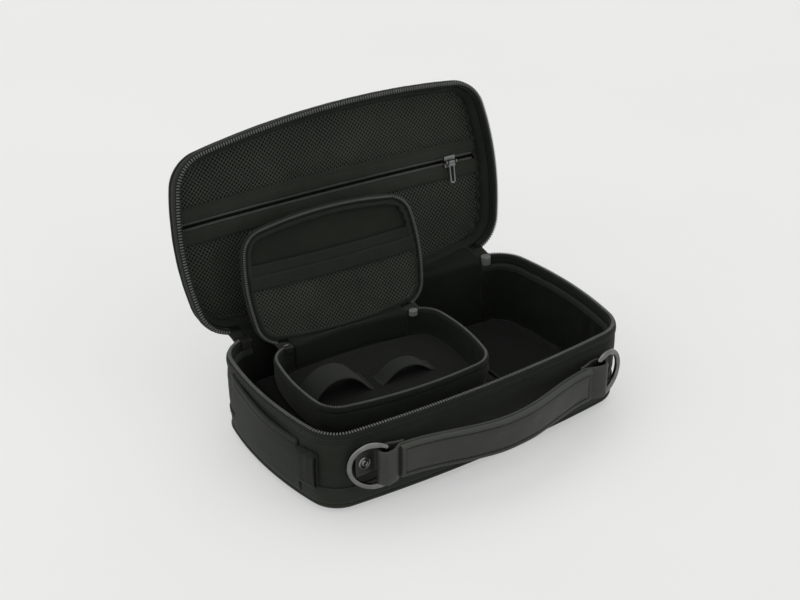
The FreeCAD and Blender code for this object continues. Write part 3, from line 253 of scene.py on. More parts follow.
def cloth(name, colour, pitch, weave="plain", rough=0.86, sheen=0.06, depth=0.12, wear=0.0):
    """Woven cloth: threads from the UV map, which is in millimetres along and across the piece,
    with uneven threads, patches of lighter and darker cloth, and lint on top."""
    n = Nodes(name)
    uv = n.add("TexCoord").outputs["UV"]
    place = n.place()
    parts = n.add("SeparateXYZ", Vector=uv)
    wobble = n.times(n.noise(uv, 0.35, 2.0), 1.6)
    turn = 2 * math.pi / pitch
    across = n.times(n.plus(parts.outputs["X"], wobble), turn)
    along = n.times(n.plus(parts.outputs["Y"], wobble), turn)
    if weave == "plain":
        height = n.times(n.sine(across), n.sine(along))
    elif weave == "twill":
        height = n.sine(n.plus(across, along))
    elif weave == "rib":
        height = n.plus(n.times(n.sine(across), 0.8), n.times(n.sine(n.times(along, 2.0)), 0.3))
    else:
        zigzag = n.times(n.sine(n.times(along, 0.11)), 9.0)
        height = n.sine(n.plus(across, n.maths("ABSOLUTE", zigzag)))
    threads = n.times(n.plus(height, 1.0), 0.5)
    patches = n.noise(place, 28.0, 5.0, 0.6)
    lint = n.noise(place, 900.0, 2.0, 0.7)
    mixed = n.plus(n.plus(n.times(patches, 0.62), n.times(threads, 0.2)), n.times(lint, 0.18))
    shade = n.ramp(mixed, 0.3, 0.72, tint(colour, 0.65), tint(colour, 1.35))
    if wear:
        shade = n.worn(shade, tint(colour, 2.6), wear)
    soft = n.bump(n.noise(place, 60.0, 4.0), 0.0006, 0.5)
    n.look(Base_Color=shade, Roughness=n.spread(patches, rough - 0.08, min(1.0, rough + 0.08)),
           Sheen_Weight=sheen, Sheen_Roughness=0.45, Specular_IOR_Level=0.2,
           Normal=n.bump(threads, depth * MM, 0.9, soft))
    return n.material


def leather(name, colour):
    """Soft dark leather: fine pebbled grain with creases, a low sheen, and edges rubbed lighter."""
    n = Nodes(name)
    place = n.place()
    warped = n.add("MixRGB", {"blend_type": "LINEAR_LIGHT"}, Fac=0.0006, Color1=place)
    n.set(warped, "Color2", n.add("TexNoise", Vector=place, Scale=240.0).outputs["Color"])
    cells = n.add("TexVoronoi", {"feature": "DISTANCE_TO_EDGE"}, Vector=warped.outputs["Color"],
                  Scale=950.0)
    grain = n.maths("MINIMUM", n.times(cells.outputs["Distance"], 3.0), 1.0)
    creases = n.noise(place, 130.0, 6.0, 0.65)
    patches = n.noise(place, 22.0, 3.0)
    shade = n.ramp(n.plus(n.times(patches, 0.7), n.times(grain, 0.3)), 0.3, 0.85,
                   tint(colour, 0.72), tint(colour, 1.3))
    under = n.bump(creases, 0.00025, 0.6)
    n.look(Base_Color=n.worn(shade, tint(colour, 2.4), 0.5, 0.51, 0.6),
           Roughness=n.spread(creases, 0.42, 0.62), Specular_IOR_Level=0.42,
           Normal=n.bump(grain, 0.00008, 0.8, under))
    return n.material


def metal(name, colour, rough):
    """Plated metal with faint brushing and a few rubbed spots."""
    n = Nodes(name)
    place = n.place()
    patches = n.noise(place, 90.0, 5.0, 0.6)
    fine = n.noise(place, 1400.0, 2.0)
    shade = n.ramp(patches, 0.35, 0.7, tint(colour, 0.8), tint(colour, 1.25))
    uneven = n.plus(n.times(patches, 0.7), n.times(fine, 0.3))
    n.look(Base_Color=n.worn(shade, tint(colour, 2.2), 0.45, 0.52), Metallic=1.0,
           Roughness=n.spread(uneven, rough - 0.1, rough + 0.14), Normal=n.bump(fine, 0.00002, 0.4))
    return n.material


def plastic(name, colour, rough):
    """Moulded plastic with a fine spark-eroded grain and slight mottling."""
    n = Nodes(name)
    place = n.place()
    grain, patches = n.noise(place, 1800.0, 2.0), n.noise(place, 120.0, 4.0)
    n.look(Base_Color=n.ramp(patches, 0.3, 0.75, tint(colour, 0.82), tint(colour, 1.2)),
           Roughness=n.spread(patches, rough - 0.06, rough + 0.08), Normal=n.bump(grain, 0.00003, 0.6))
    return n.material


SHELL_CLOTH = cloth("shell_cloth", (0.0108, 0.0132, 0.0088), 0.8, "plain", depth=0.1, wear=0.25)
SKIRT_CLOTH = cloth("skirt_cloth", (0.0148, 0.0180, 0.0124), 0.8, "plain", depth=0.1, wear=0.25)
# The base lining is darker than the lid lining. Its colour is the lining's own dark colour, with painted
# shade of the deep base, small case and hinge flaps added in.
LINING_CLOTH_PAINTED_SHADE = cloth("lining_cloth", (0.0050, 0.0072, 0.0045), 0.6, "twill", 0.9, sheen=0.03, depth=0.06)
LID_LINING = cloth("lid_lining", (0.0120, 0.0146, 0.0100), 0.6, "twill", 0.9, sheen=0.03, depth=0.06)
# The pads' colour is darker than the cloth's own. This is painted shade of the shelf and floors that lie
# deep in the base and the small case.
PAD_CLOTH_PAINTED_SHADE = cloth("pad_cloth_painted_shade", (0.0030, 0.0042, 0.0027), 0.6, "twill", rough=0.9, sheen=0.04, depth=0.06)
TAPE_CLOTH = cloth("tape_cloth", (0.0078, 0.0098, 0.0066), 0.9, "herringbone", 0.84)
PIPING_CLOTH = cloth("piping_cloth", (0.0120, 0.0145, 0.0102), 0.7, "rib", 0.8, wear=0.3)
ELASTIC_CLOTH = cloth("elastic_cloth", (0.0125, 0.0145, 0.0110), 1.1, "rib", rough=0.88, depth=0.2)
BAND_CLOTH = cloth("band_cloth", (0.0195, 0.0228, 0.0162), 0.9, "herringbone", 0.84)
WEBBING_CLOTH = cloth("webbing_cloth", (0.0085, 0.0105, 0.0072), 1.4, "herringbone", 0.85, depth=0.25)
MESH_CLOTH = cloth("mesh_cloth", (0.043, 0.049, 0.037), 0.5, "rib", rough=0.6, sheen=0.08, depth=0.05)
THREAD = cloth("thread", (0.020, 0.021, 0.018), 0.4, "twill", rough=0.6, depth=0.05)
STRAP_LEATHER = leather("strap_leather", (0.0195, 0.0218, 0.0160))
TAB_LEATHER = leather("tab_leather", (0.012, 0.0125, 0.011))
RING_METAL = metal("ring_metal", (0.15, 0.15, 0.14), 0.16)
RIVET_METAL = metal("rivet_metal", (0.15, 0.15, 0.14), 0.26)
ZIP_METAL = metal("zip_metal", (0.13, 0.135, 0.13), 0.32)
TEETH_PLASTIC = plastic("teeth_plastic", (0.085, 0.090, 0.080), 0.32)
TAB_PLASTIC = plastic("tab_plastic", (0.120, 0.130, 0.112), 0.5)


# ---- meshes -------------------------------------------------------------------------------------

def swell(points, scale, seed):
    """Smooth seeded noise from about -1 to 1 at each point; scale is its wavelength."""
    draw = np.random.default_rng(seed)
    total = np.zeros(points.shape[:-1])
    for octave in range(7):
        direction = draw.normal(size=3)
        direction *= (1 + 0.35 * octave) * 2 * math.pi / (scale * np.linalg.norm(direction))
        total += np.sin(points @ direction + draw.uniform(0, 2 * math.pi)) / (1 + 0.5 * octave)
    return total / 3.0


def place_points(points, place):
    matrix = np.array(place)
    return (points @ matrix[:3, :3].T + matrix[:3, 3]) * MM


def new_object(name, points, faces, material, uvs=None):
    mesh = bpy.data.meshes.new(name)
    mesh.from_pydata(np.asarray(points).tolist(), [], faces)
    if uvs is not None:
        layer = mesh.uv_layers.new(name="UVMap")
        layer.data.foreach_set("uv", np.asarray(uvs, float).ravel())
    bm = bmesh.new()
    bm.from_mesh(mesh)
    bmesh.ops.recalc_face_normals(bm, faces=bm.faces)
    bm.to_mesh(mesh)
    bm.free()
    mesh.shade_smooth()
    mesh.materials.append(material)
    obj = bpy.data.objects.new(name, mesh)
    bpy.context.scene.collection.objects.link(obj)
    return obj


def lengths_along(points):
    return np.concatenate([[0.0], np.cumsum(np.linalg.norm(np.diff(points, axis=0), axis=1))])


def grid(name, points, part, material, round_u=False, round_v=False, cap_u=False, cap_v=False):
    """A mesh over an N x M grid of points. It may close on itself either way, and its open ends
    may be capped. The UV map is in millimetres, measured along the grid's middle lines."""
    count, wide = points.shape[:2]
    u = lengths_along(points[:, wide // 3])
    v = lengths_along(points[count // 2])
    u = np.append(u, u[-1] + np.linalg.norm(points[-1, wide // 3] - points[0, wide // 3]))
    v = np.append(v, v[-1] + np.linalg.norm(points[count // 2, -1] - points[count // 2, 0]))
    faces, uvs = [], []
    for i in range(count if round_u else count - 1):
        for j in range(wide if round_v else wide - 1):
            near, far = i * wide, (i + 1) % count * wide
            after = (j + 1) % wide
            faces.append((near + j, far + j, far + after, near + after))
            uvs += [(u[i], v[j]), (u[i + 1], v[j]), (u[i + 1], v[j + 1]), (u[i], v[j + 1])]
    caps = []
    if cap_u:
        caps += [list(range(wide))[::-1], [(count - 1) * wide + j for j in range(wide)]]
    if cap_v:
        caps += [[i * wide for i in range(count)], [i * wide + wide - 1 for i in range(count)][::-1]]
    flat = points.reshape(-1, 3)
    for cap in caps:
        faces.append(cap)
        uvs += [(flat[k][0], flat[k][1] + flat[k][2]) for k in cap]
    return new_object(name, place_points(flat, part.place), faces, material, uvs)


def steps_between(points, step, closed=False):
    """How many steps of about one length fit between each point and the next."""
    ends = np.roll(points, -1, axis=0) if closed else points[1:]
    return [max(2, math.ceil(np.linalg.norm(end - start) / step)) for start, end in zip(points, ends)]


def through(points, counts, closed=False):
    """A Catmull-Rom line through the points, with a stated number of steps in each stretch."""
    if closed:
        padded = np.vstack([points[-1:], points, points[:2]])
    else:
        padded = np.vstack([2 * points[0] - points[1], points, 2 * points[-1] - points[-2]])
    out = []
    for before, start, end, after, steps in zip(padded, padded[1:], padded[2:], padded[3:], counts):
        for t in np.arange(steps) / steps:
            square = (2 * before - 5 * start + 4 * end - after) * t ** 2
            cube = (3 * start - before - 3 * end + after) * t ** 3
            out.append(0.5 * (2 * start + (end - before) * t + square + cube))
    if not closed:
        out.append(points[-1])
    return np.array(out)


def spline(points, step, closed=False):
    """A smooth line through the points, as points about a step apart."""
    points = np.asarray(points, float)
    return through(points, steps_between(points, step, closed), closed)


def outline_stations(line, span=None, pitch=2.5):
    """s values round an outline, or over a span of it."""
    start, end = span or (0.0, 1.0)
    count = int(line.length * (end - start) / pitch)
    return np.linspace(start, end, count, endpoint=span is not None)


CLOSING_RINGS = (0.86, 0.66, 0.42, 0.2, 0.03)


def sweep(name, part, profile, material, span=None, closed=False, pitch=2.5, shape=None, filled=False):
    """Carries a profile of (offset, height) points round a part's outline.

    closed joins the profile's end to its start. filled closes the outline over at both ends of the
    profile, with shrinking rings. shape moves the grid of points before it is placed: it takes the
    points and the outward normals.
    """
    s = outline_stations(part.line, span, pitch)
    rows = [(offset, height, 1.0) for offset, height in profile]
    if filled:
        rows = [(*profile[0], scale) for scale in CLOSING_RINGS[::-1]] + rows
        rows += [(*profile[-1], scale) for scale in CLOSING_RINGS]
    points = np.zeros((len(s), len(rows), 3))
    for index, (offset, height, scale) in enumerate(rows):
        flat, normal = part.line.at(s, offset)
        points[:, index, :2] = flat * scale
        points[:, index, 2] = height
    if shape is not None:
        points = shape(points, normal)
    return grid(name, points, part, material, round_u=span is None, round_v=closed,
                cap_u=span is not None and closed, cap_v=filled)


def outward(points, normal, amount):
    """Grid points moved along their outline's normals."""
    moved = points.copy()
    moved[..., :2] += normal[:, None, :] * amount[..., None]
    return moved


def section(half_wide, half_thick, corner):
    """A rounded rectangle's outline, from its middle, as (width, thickness) points."""
    across = 6  # stretches along each long side
    corner = min(corner, half_wide, half_thick)
    x, y = half_wide - corner, half_thick - corner
    points = []
    for centre, start in (((x, y), 0), ((-x, y), 90), ((-x, -y), 180), ((x, -y), 270)):
        for angle in np.radians(start + np.linspace(0, 90, 4)):
            points.append((centre[0] + corner * math.cos(angle), centre[1] + corner * math.sin(angle)))
        if start in (0, 180):
            sign = 1 if start == 0 else -1
            points += [(sign * x * (1 - 2 * k / across), sign * half_thick) for k in range(1, across)]
    return np.array(points)


def ribbon(name, path, wide_way, part, material, half_wide, half_thick, corner, closed=False,
           shape=None):
    """A strap along a path: wide_way is the direction of its width at each point, or one for all.
    half_wide and half_thick may be arrays, one value for each point of the path."""
    path = np.asarray(path, float)
    ahead = np.roll(path, -1, axis=0) - np.roll(path, 1, axis=0)
    if not closed:
        ahead[0], ahead[-1] = path[1] - path[0], path[-1] - path[-2]
    ahead /= np.linalg.norm(ahead, axis=1)[:, None]
    wide = np.broadcast_to(np.asarray(wide_way, float), path.shape).copy()
    wide -= ahead * (wide * ahead).sum(axis=1)[:, None]
    wide /= np.linalg.norm(wide, axis=1)[:, None]
    thick_way = np.cross(ahead, wide)
    half_wide = np.broadcast_to(half_wide, len(path))
    half_thick = np.broadcast_to(half_thick, len(path))
    rows = []
    for k in range(len(path)):
        ring = section(half_wide[k], half_thick[k], corner)
        rows.append(path[k] + ring[:, :1] * wide[k] + ring[:, 1:] * thick_way[k])
    points = np.array(rows)
    if shape is not None:
        points = shape(points)
    return grid(name, points, part, material, round_u=closed, round_v=True, cap_u=not closed)


def scatter(name, template, faces, origins, axes, part, material):
    """Copies of one small solid, each turned to its own three axes, as one mesh."""
    template = np.asarray(template, float)
    copies = origins[:, None, :] + np.einsum("vk,nkd->nvd", template, axes)
    count = len(template)
    every = [tuple(index + count * copy for index in face)
             for copy in range(len(origins)) for face in faces]
    map_shift = 3.7  # so that no two copies look alike
    uvs = [(template[index % count][0] + index // count * map_shift, template[index % count][1])
           for face in every for index in face]
    return new_object(name, place_points(copies.reshape(-1, 3), part.place), every, material, uvs)


def ring_faces(rings, sides):
    """The faces of a closed solid made of rings of points."""
    faces = [(r * sides + k, (r + 1) * sides + k, (r + 1) * sides + (k + 1) % sides,
              r * sides + (k + 1) % sides) for r in range(rings - 1) for k in range(sides)]
    return faces + [tuple(range(sides))[::-1], tuple(range((rings - 1) * sides, rings * sides))]


def bead(long, wide, tall, sides=8):
    """A small rounded bar along its first axis: the template of a stitch or a zip tooth."""
    rings = [(-0.5, 0.35), (-0.38, 0.85), (0.0, 1.0), (0.38, 0.85), (0.5, 0.35)]
    points = [(at * long, size * wide / 2 * math.cos(a), size * tall / 2 * math.sin(a))
              for at, size in rings for a in np.arange(sides) * 2 * math.pi / sides]
    return points, ring_faces(len(rings), sides)


def along_path(path, pitch):
    """Points a pitch apart along a path, and the path's direction at each."""
    run = lengths_along(path)
    at = np.arange(pitch / 2, run[-1] - pitch / 3, pitch)
    points = np.stack([np.interp(at, run, path[:, k]) for k in range(3)], axis=1)
    ahead = np.stack([np.interp(at + 0.2, run, path[:, k]) for k in range(3)], axis=1) - points
    return points, unit(ahead)


def unit(vectors):
    return vectors / np.linalg.norm(vectors, axis=1)[:, None]


def stitches(name, path, normal, part, pitch=3.2, long=2.3, thick=0.42):
    """A row of thread stitches, half sunk in the cloth along a path."""
    path = np.asarray(path, float)
    points, ahead = along_path(path, pitch)
    run = lengths_along(path)
    out = np.broadcast_to(np.asarray(normal, float), path.shape)
    at = np.linspace(pitch / 2, run[-1] - pitch / 2, len(points))
    out = unit(np.stack([np.interp(at, run, out[:, k]) for k in range(3)], axis=1))
    side = unit(np.cross(out, ahead))
    axes = np.stack([ahead, side, np.cross(ahead, side)], axis=1)
    row = scatter(name, *bead(long, thick, thick), points, axes, part, THREAD)
    finish_piece(row, part.body)


def rim_path(line, offset, height, span=None, pitch=1.0):
    """A line round an outline at one offset and height, with its outward normals."""
    s = outline_stations(line, span, pitch)
    flat, normal = line.at(s, offset)
    path = np.column_stack([flat, np.full(len(s), height)])
    out = np.column_stack([normal, np.zeros(len(s))])
    if span is None:
        path, out = np.vstack([path, path[:1]]), np.vstack([out, out[:1]])
    return path, out


def zip_teeth(name, path, part, node, pitch=1.45, reach=2.0, wide=0.95, tall=1.35):
    """A row of coil teeth: beads that lie across the path, level with it."""
    points, ahead = along_path(path, pitch)
    up = np.tile((0.0, 0.0, 1.0), (len(points), 1))
    axes = np.stack([unit(np.cross(up, ahead)), ahead, up], axis=1)
    teeth = scatter(name, *bead(reach, wide, tall), points, axes, part, TEETH_PLASTIC)
    finish_piece(teeth, part.body, [node])


def finish_piece(obj, body, nodes=()):
    """What every piece says: the body it rides and the CAD nodes it stands for."""
    if nodes:
        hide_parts(*nodes)
    if body:
        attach(obj, body)
    return obj


def puffed(obj, voxel, pressure, cap):
    """Blows a closed pad up by cloth simulation, from a remeshed copy. No point moves past the cap."""
    frames = 20
    material = obj.data.materials[0]
    remesh = obj.modifiers.new("remesh", "REMESH")
    remesh.mode, remesh.voxel_size = "VOXEL", voxel
    apply_modifiers(obj)
    start = np.array([v.co for v in obj.data.vertices])
    cloth_modifier = obj.modifiers.new("cloth", "CLOTH")
    settings = cloth_modifier.settings
    settings.use_pressure, settings.uniform_pressure_force = True, pressure
    settings.quality, settings.mass = 6, 0.2
    settings.tension_stiffness = settings.compression_stiffness = settings.shear_stiffness = 30.0
    settings.bending_stiffness = 2.0
    settings.effector_weights.gravity = 0.0
    cloth_modifier.point_cache.frame_start, cloth_modifier.point_cache.frame_end = 1, frames
    for number in range(1, frames + 1):
        bpy.context.scene.frame_set(number)
    apply_modifiers(obj)
    bpy.context.scene.frame_set(1)
    end = np.array([v.co for v in obj.data.vertices])
    moved = end - start
    far = np.linalg.norm(moved, axis=1)
    moved *= np.minimum(1.0, cap / np.maximum(far, 1e-9))[:, None]
    obj.data.vertices.foreach_set("co", (start + moved).ravel())
    obj.data.materials.clear()
    obj.data.materials.append(material)
    obj.data.shade_smooth()
    box_uvs(obj)


def apply_modifiers(obj):
    depsgraph = bpy.context.evaluated_depsgraph_get()
    mesh = bpy.data.meshes.new_from_object(obj.evaluated_get(depsgraph))
    obj.modifiers.clear()
    obj.data = mesh


def box_uvs(obj):
    """A UV map in millimetres, seen along whichever axis each face looks to most."""
    mesh = obj.data
    layer = mesh.uv_layers.get("UVMap") or mesh.uv_layers.new(name="UVMap")
    for polygon in mesh.polygons:
        axis = max(range(3), key=lambda k: abs(polygon.normal[k]))
        keep = [k for k in range(3) if k != axis]
        for loop in polygon.loop_indices:
            co = mesh.vertices[mesh.loops[loop].vertex_index].co
            layer.data[loop].uv = (co[keep[0]] / MM, co[keep[1]] / MM)


# ---- base ---------------------------------------------------------------------------------------

GAP_HALF = 103.0  # the main zip stops this far from the middle of the back
WALL_TOP = BASE_TALL - 7.0


def round_from_gap(part, half):
    """The span of an outline outside a gap in the middle of its back."""
    return part.line.s_at(-half), 1 + part.line.s_at(half)


def wall_lean(height):
    """How far the base's wall stands in at a height: the bottom is narrower, the middle bulges."""
    return float(np.interp(height, (0, 8, 18, 34, 46, 52), (2.5, 2.1, 1.0, 0.0, 0.1, 0.55)))


def slack_walls(amount, seed, low=4.0, high=None, scale=55.0):
    """Uneven cloth over foam: slow swells that fade at the piece's bottom and top edges."""
    def shape(points, normal):
        height = points[..., 2]
        top = height.max() if high is None else high
        fade = np.clip((height - low) / 8, 0, 1) * np.clip((top - height) / 5, 0, 1)
        puckers = swell(points * (1, 1, 2.2), scale, seed) * amount
        creases = swell(points * (1, 1, 0.5), scale / 4.5, seed + 1) * amount * 0.3
        return outward(points, normal, (puckers + creases) * fade)
    return shape


def make_base_shell():
    outer = [(9.8, 0.0), (6.2, 0.15), (3.6, 1.6), (2.5, 4.2)]
    outer += [(wall_lean(z), z) for z in (8, 18, 34, 46)]
    outer += [(wall_lean(52), WALL_TOP - 0.9), (1.4, WALL_TOP - 0.1)]
    inner = [(2.7, WALL_TOP - 0.4), (2.95, WALL_TOP - 3), (3.2, 30), (3.6, 7.5), (5.2, 3.6), (8.6, 3.0)]
    profile = spline(outer + inner, 2.2)
    shell = sweep("base_shell_cloth", BASE, profile, SHELL_CLOTH, shape=slack_walls(0.55, 3),
                  filled=True)
    finish_piece(shell, "base", ["base_shell"])


def make_base_skirt():
    """The lower panel: a second layer of cloth, with a folded top edge sewn down all round."""
    low, high = 6.4, 18.4
    heights = np.linspace(low, high, 8)
    profile = [(wall_lean(z) - 0.75, z) for z in heights]
    profile += [(wall_lean(high) - 0.45, high + 0.55)]
    profile += [(wall_lean(z) + 0.25, z) for z in heights[::-1]]
    skirt = sweep("base_skirt_cloth", BASE, profile, SKIRT_CLOTH, closed=True,
                  shape=slack_walls(0.3, 8, low=low, high=high + 3, scale=40))
    finish_piece(skirt, "base", ["base_lower_skirt"])
    path, out = rim_path(BASE.line, wall_lean(16.4) - 0.72, 16.4)
    stitches("base_skirt_stitches", path, out, BASE)


def round_profile(offset, height, radius, sides=10):
    return [(offset + radius * math.cos(a), height + radius * math.sin(a))
            for a in np.arange(sides) * 2 * math.pi / sides]


def piping_shape(amount, seed):
    """The slight waviness of a corded edge."""
    def shape(points, normal):
        return outward(points, normal, swell(points, 9.0, seed) * amount)
    return shape


def make_base_piping():
    welt = sweep("base_bottom_piping", BASE, round_profile(2.0, 5.2, 1.35), PIPING_CLOTH,
                 closed=True, shape=piping_shape(0.1, 4))
    finish_piece(welt, "base", ["base_bottom_welt"])


def looseness(points, wide, wide_deep, fine, fine_deep, seed):
    """How far a loose lining stands off its wall: wide puckers, with finer ones between them."""
    return (np.abs(swell(points * (1, 1, 0.6), wide, seed)) * wide_deep
            + np.abs(swell(points * (1, 1, 0.4), fine, seed + 1)) * fine_deep)


def make_base_lining():
    """The inner cloth: a loose skin over the foam that puckers into the corners."""
    face = [(14.0, 4.6), (7.4, 4.8), (5.0, 6.6), (4.6, 12), (4.45, 30), (4.4, 46), (4.5, WALL_TOP + 2.2)]
    back = [(3.9, WALL_TOP + 2.4), (3.55, WALL_TOP), (3.5, 30), (3.7, 8), (5.2, 4.1), (8.8, 3.4)]
    profile = spline(face + back, 2.6)

    def shape(points, normal):
        height = points[..., 2]
        fade = np.clip((height - 6) / 8, 0, 1) * np.clip((WALL_TOP + 2 - height) / 6, 0, 1)
        return outward(points, normal, -looseness(points, 30, 1.7, 11, 0.5, 21) * fade)

    lining = sweep("base_lining_cloth", BASE, profile, LINING_CLOTH_PAINTED_SHADE, shape=shape, filled=True)
    finish_piece(lining, "base", ["base_lining"])


def make_base_binding():
    edge = [(4.5, WALL_TOP - 5.6), (5.6, WALL_TOP - 5.2), (5.9, WALL_TOP - 3.0), (5.6, WALL_TOP - 0.6),
            (4.4, WALL_TOP - 0.2)]
    flap_half = 95.2
    binding = sweep("base_inner_binding", BASE, edge, PIPING_CLOTH, span=round_from_gap(BASE, flap_half),
                    closed=True, shape=piping_shape(0.5, 17))
    finish_piece(binding, "base", ["base_binding"])


def make_floor_pad():
    low, high = 4.7, 8.2
    edge = [(7.2, low + 0.9), (6.8, (low + high) / 2), (7.6, high - 0.5), (10.5, high)]
    pad = sweep("base_floor_cushion", BASE, [(10.0, low), *edge], PAD_CLOTH_PAINTED_SHADE, pitch=5.0, filled=True)
    puffed(pad, voxel=0.0024, pressure=2.0, cap=0.0012)
    finish_piece(pad, "base", ["base_floor_pad"])


def make_zip_band(name, part, span, low, high, node, seed, wall=3.7):
    """A rim's zip tape: a soft turned edge outside, and the tape that carries the teeth inside.
    A base's teeth stand at the tape's top and a lid's face down."""
    tall = high - low
    points = [(0.1, 0.0), (-0.2, 0.3 * tall), (-0.1, 0.62 * tall), (0.3, 0.78 * tall), (1.0, 0.84 * tall),
              (wall - 1.4, 0.83 * tall), (wall, 0.76 * tall), (wall + 0.1, 0.3 * tall), (wall - 0.2, 0.0),
              (wall / 2, 0.05 * tall)]
    level = low + 0.4 * tall
    if part in (LID, CAP):
        points = [(offset, tall - z) for offset, z in points]
        level = high - 0.4 * tall
    profile = spline([(offset, low + z) for offset, z in points], 0.9, closed=True)
    band = sweep(name, part, profile, TAPE_CLOTH, span=span, closed=True, pitch=2.2,
                 shape=piping_shape(0.12, seed))
    finish_piece(band, part.body, [node])
    path, out = rim_path(part.line, -0.18, level, span)
    stitches(f"{name}_stitches", path, out, part, pitch=2.8, long=2.0, thick=0.34)


def make_rim_teeth(name, part, span, level, node, offset=2.0, reach=2.5, pitch=1.9):
    path, _ = rim_path(part.line, offset, level, span, pitch=0.7)
    zip_teeth(name, path, part, node, pitch=pitch, reach=reach, wide=pitch * 0.6, tall=1.2)


def make_base_rim():
    span = round_from_gap(BASE, GAP_HALF)
    make_zip_band("base_zip_band", BASE, span, WALL_TOP + 0.1, BASE_TALL - 0.1, "base_zip_tape", 31)
    make_rim_teeth("base_teeth", BASE, span, BASE_TALL - 0.6, "base_zip_teeth")


# ---- slip pocket and webbing loop ---------------------------------------------------------------

POCKET_HALF = 39.0
POCKET_LOW = 8.0


def pocket_top(along):
    """The slip pocket's mouth slopes: high by the hinge, low at the front corner."""
    return 48.6 + 3.4 * along / POCKET_HALF


def left_side(along):
    """s on the left end at a distance along it from its middle, to the back if positive."""
    return 0.5 - along / BASE.line.length


def make_slip_pocket():
    along = np.linspace(-POCKET_HALF, POCKET_HALF, 44)
    flat, normal = BASE.line.at(left_side(along))
    heights = np.linspace(0, 1, 22)
    faces = []
    for depth in (-1, 1):
        layer = np.zeros((len(along), len(heights), 3))
        for index, t in enumerate(heights):
            top = pocket_top(along)
            z = POCKET_LOW + (top - POCKET_LOW) * t
            lean = np.array([wall_lean(value) for value in z])
            slack = 1.9 * t ** 3 * (1 - (along / POCKET_HALF) ** 2) + 0.25 * np.sin(along / 9 + 3 * t)
            out = 0.95 - lean + slack * (t > 0.1) + 0.5 * depth
            layer[:, index, :2] = flat + normal * out[:, None]
            layer[:, index, 2] = z
        faces.append(layer)
    points = np.concatenate([faces[1], faces[0][:, ::-1]], axis=1)
    panel = grid("slip_pocket_panel", points, BASE, SHELL_CLOTH, round_v=True, cap_u=True)
    finish_piece(panel, "base", ["end_pocket_panel"])
    rim = faces[1][:, -1] * 0.5 + faces[0][:, -1] * 0.5
    rim[:, 2] += 0.4
    normals = np.column_stack([normal, np.zeros(len(normal))])
    roll = ribbon("slip_pocket_binding", rim, (0, 0, 1), BASE, PIPING_CLOTH, 1.7, 1.15, 1.0)
    finish_piece(roll, "base", ["end_pocket_binding"])
    seam = rim + normals * 0.75 - np.array((0, 0, 3.4))
    stitches("slip_pocket_stitches", seam, normals, BASE)


def make_webbing_loop():
    """A flat webbing loop on the front left corner, both ends sewn under."""
    wide, tall, deep, low, wall = 15.0, 24.0, 3.4, 20.0, 1.2
    turn = math.radians(180 + 13)
    front_left = BASE.line.arcs[5]
    out = np.array((math.cos(turn), math.sin(turn), 0))
    side = np.array((-out[1], out[0], 0))
    wall_point = np.array((*front_left[:2], 0)) + out * (BASE_CORNER + 0.7)
    loop = [(0.4, 1.0), (0.35, 8), (0.4, 16), (0.4, tall - 1.2), (1.6, tall), (deep, tall - 1.4),
            (deep + 0.3, 15), (deep + 0.1, 8), (deep - 0.3, 1.6), (1.6, 0.2)]
    path = np.array([wall_point + out * depth + np.array((0, 0, low + z))
                     for depth, z in spline(np.array(loop), 1.2, closed=True)])
    strap = ribbon("webbing_loop", path, side, BASE, WEBBING_CLOTH, wide / 2, wall / 2, 0.4, closed=True)
    finish_piece(strap, "base", ["side_loop_tab"])
    across = np.linspace(-wide / 2 + 1, wide / 2 - 1, 12)[:, None]
    for name, level in (("top", low + tall - 2.6), ("bottom", low + 2.8)):
        line = wall_point + out * (deep + wall / 2 + 0.1) + side * across + np.array((0, 0, level))
        stitches(f"webbing_loop_stitches_{name}", line, out, BASE, pitch=1.9, long=1.3)


# ---- handle -------------------------------------------------------------------------------------

BAR = np.array((84.5, -78.5, 36.0))
STRAP_TALL, STRAP_BOW, STRAP_HALF = 24.4, 14.0, 78.0


def strap_line(across, out=0.0):
    """The strap's plan curve. It leaves the rings along the wall and bows out smoothly between
    them; out is a distance outwards from its middle layer."""
    across = np.asarray(across, float)
    phase = np.clip(across / STRAP_HALF, -1, 1) * math.pi / 2
    y = BAR[1] - 0.4 - STRAP_BOW * np.cos(phase) ** 2
    slope = STRAP_BOW * np.sin(2 * phase) * math.pi / 2 / STRAP_HALF
    normal = np.stack([slope, -np.ones_like(slope)], axis=-1)
    normal /= np.linalg.norm(normal, axis=-1)[..., None]
    plan = np.column_stack([across, y]) + normal * out
    return np.column_stack([plan, np.full(len(across), BAR[2])])


def make_strap():
    """One leather strap. Each end wraps a ring's bar and is sewn down behind itself."""
    middle = strap_line(np.linspace(-77, 77, 60))
    turn = np.radians(np.linspace(-80, 100, 12))
    bend = 4.6  # the loop's radius round the bar
    wrap = [(bend * max(math.cos(a), 0), bend * math.sin(a), 0) for a in turn]
    tail = [(-4, 4.3, 0), (-9, 2.6, 0), (-14, 1.6, 0)]
    right = BAR + np.array([(-4.5, -3.6, 0), *wrap, *tail])
    left = right * (-1, 1, 1)
    path = spline(np.vstack([left[::-1], middle[1:-1:2], right]), 1.5)
    strap = ribbon("handle_strap_leather", path, (0, 0, 1), BASE, STRAP_LEATHER, STRAP_TALL / 2, 0.95, 0.7)
    finish_piece(strap, "base", ["handle_strap"])


def grip_relief(high, along, half, tall):
    """The grip's front face: a rolled edge, a stitched groove inside it and a filled panel."""
    inset_high = tall / 2 - np.abs(high)
    inset = np.minimum(inset_high, half - np.abs(along))
    groove = -0.85 * np.exp(-((inset - 3.2) / 0.55) ** 2)
    welt = 0.45 * np.exp(-((inset - 1.6) / 0.9) ** 2)
    panel = 0.5 * np.clip((inset - 4.0) / 3.0, 0, 1)
    return groove + welt + panel


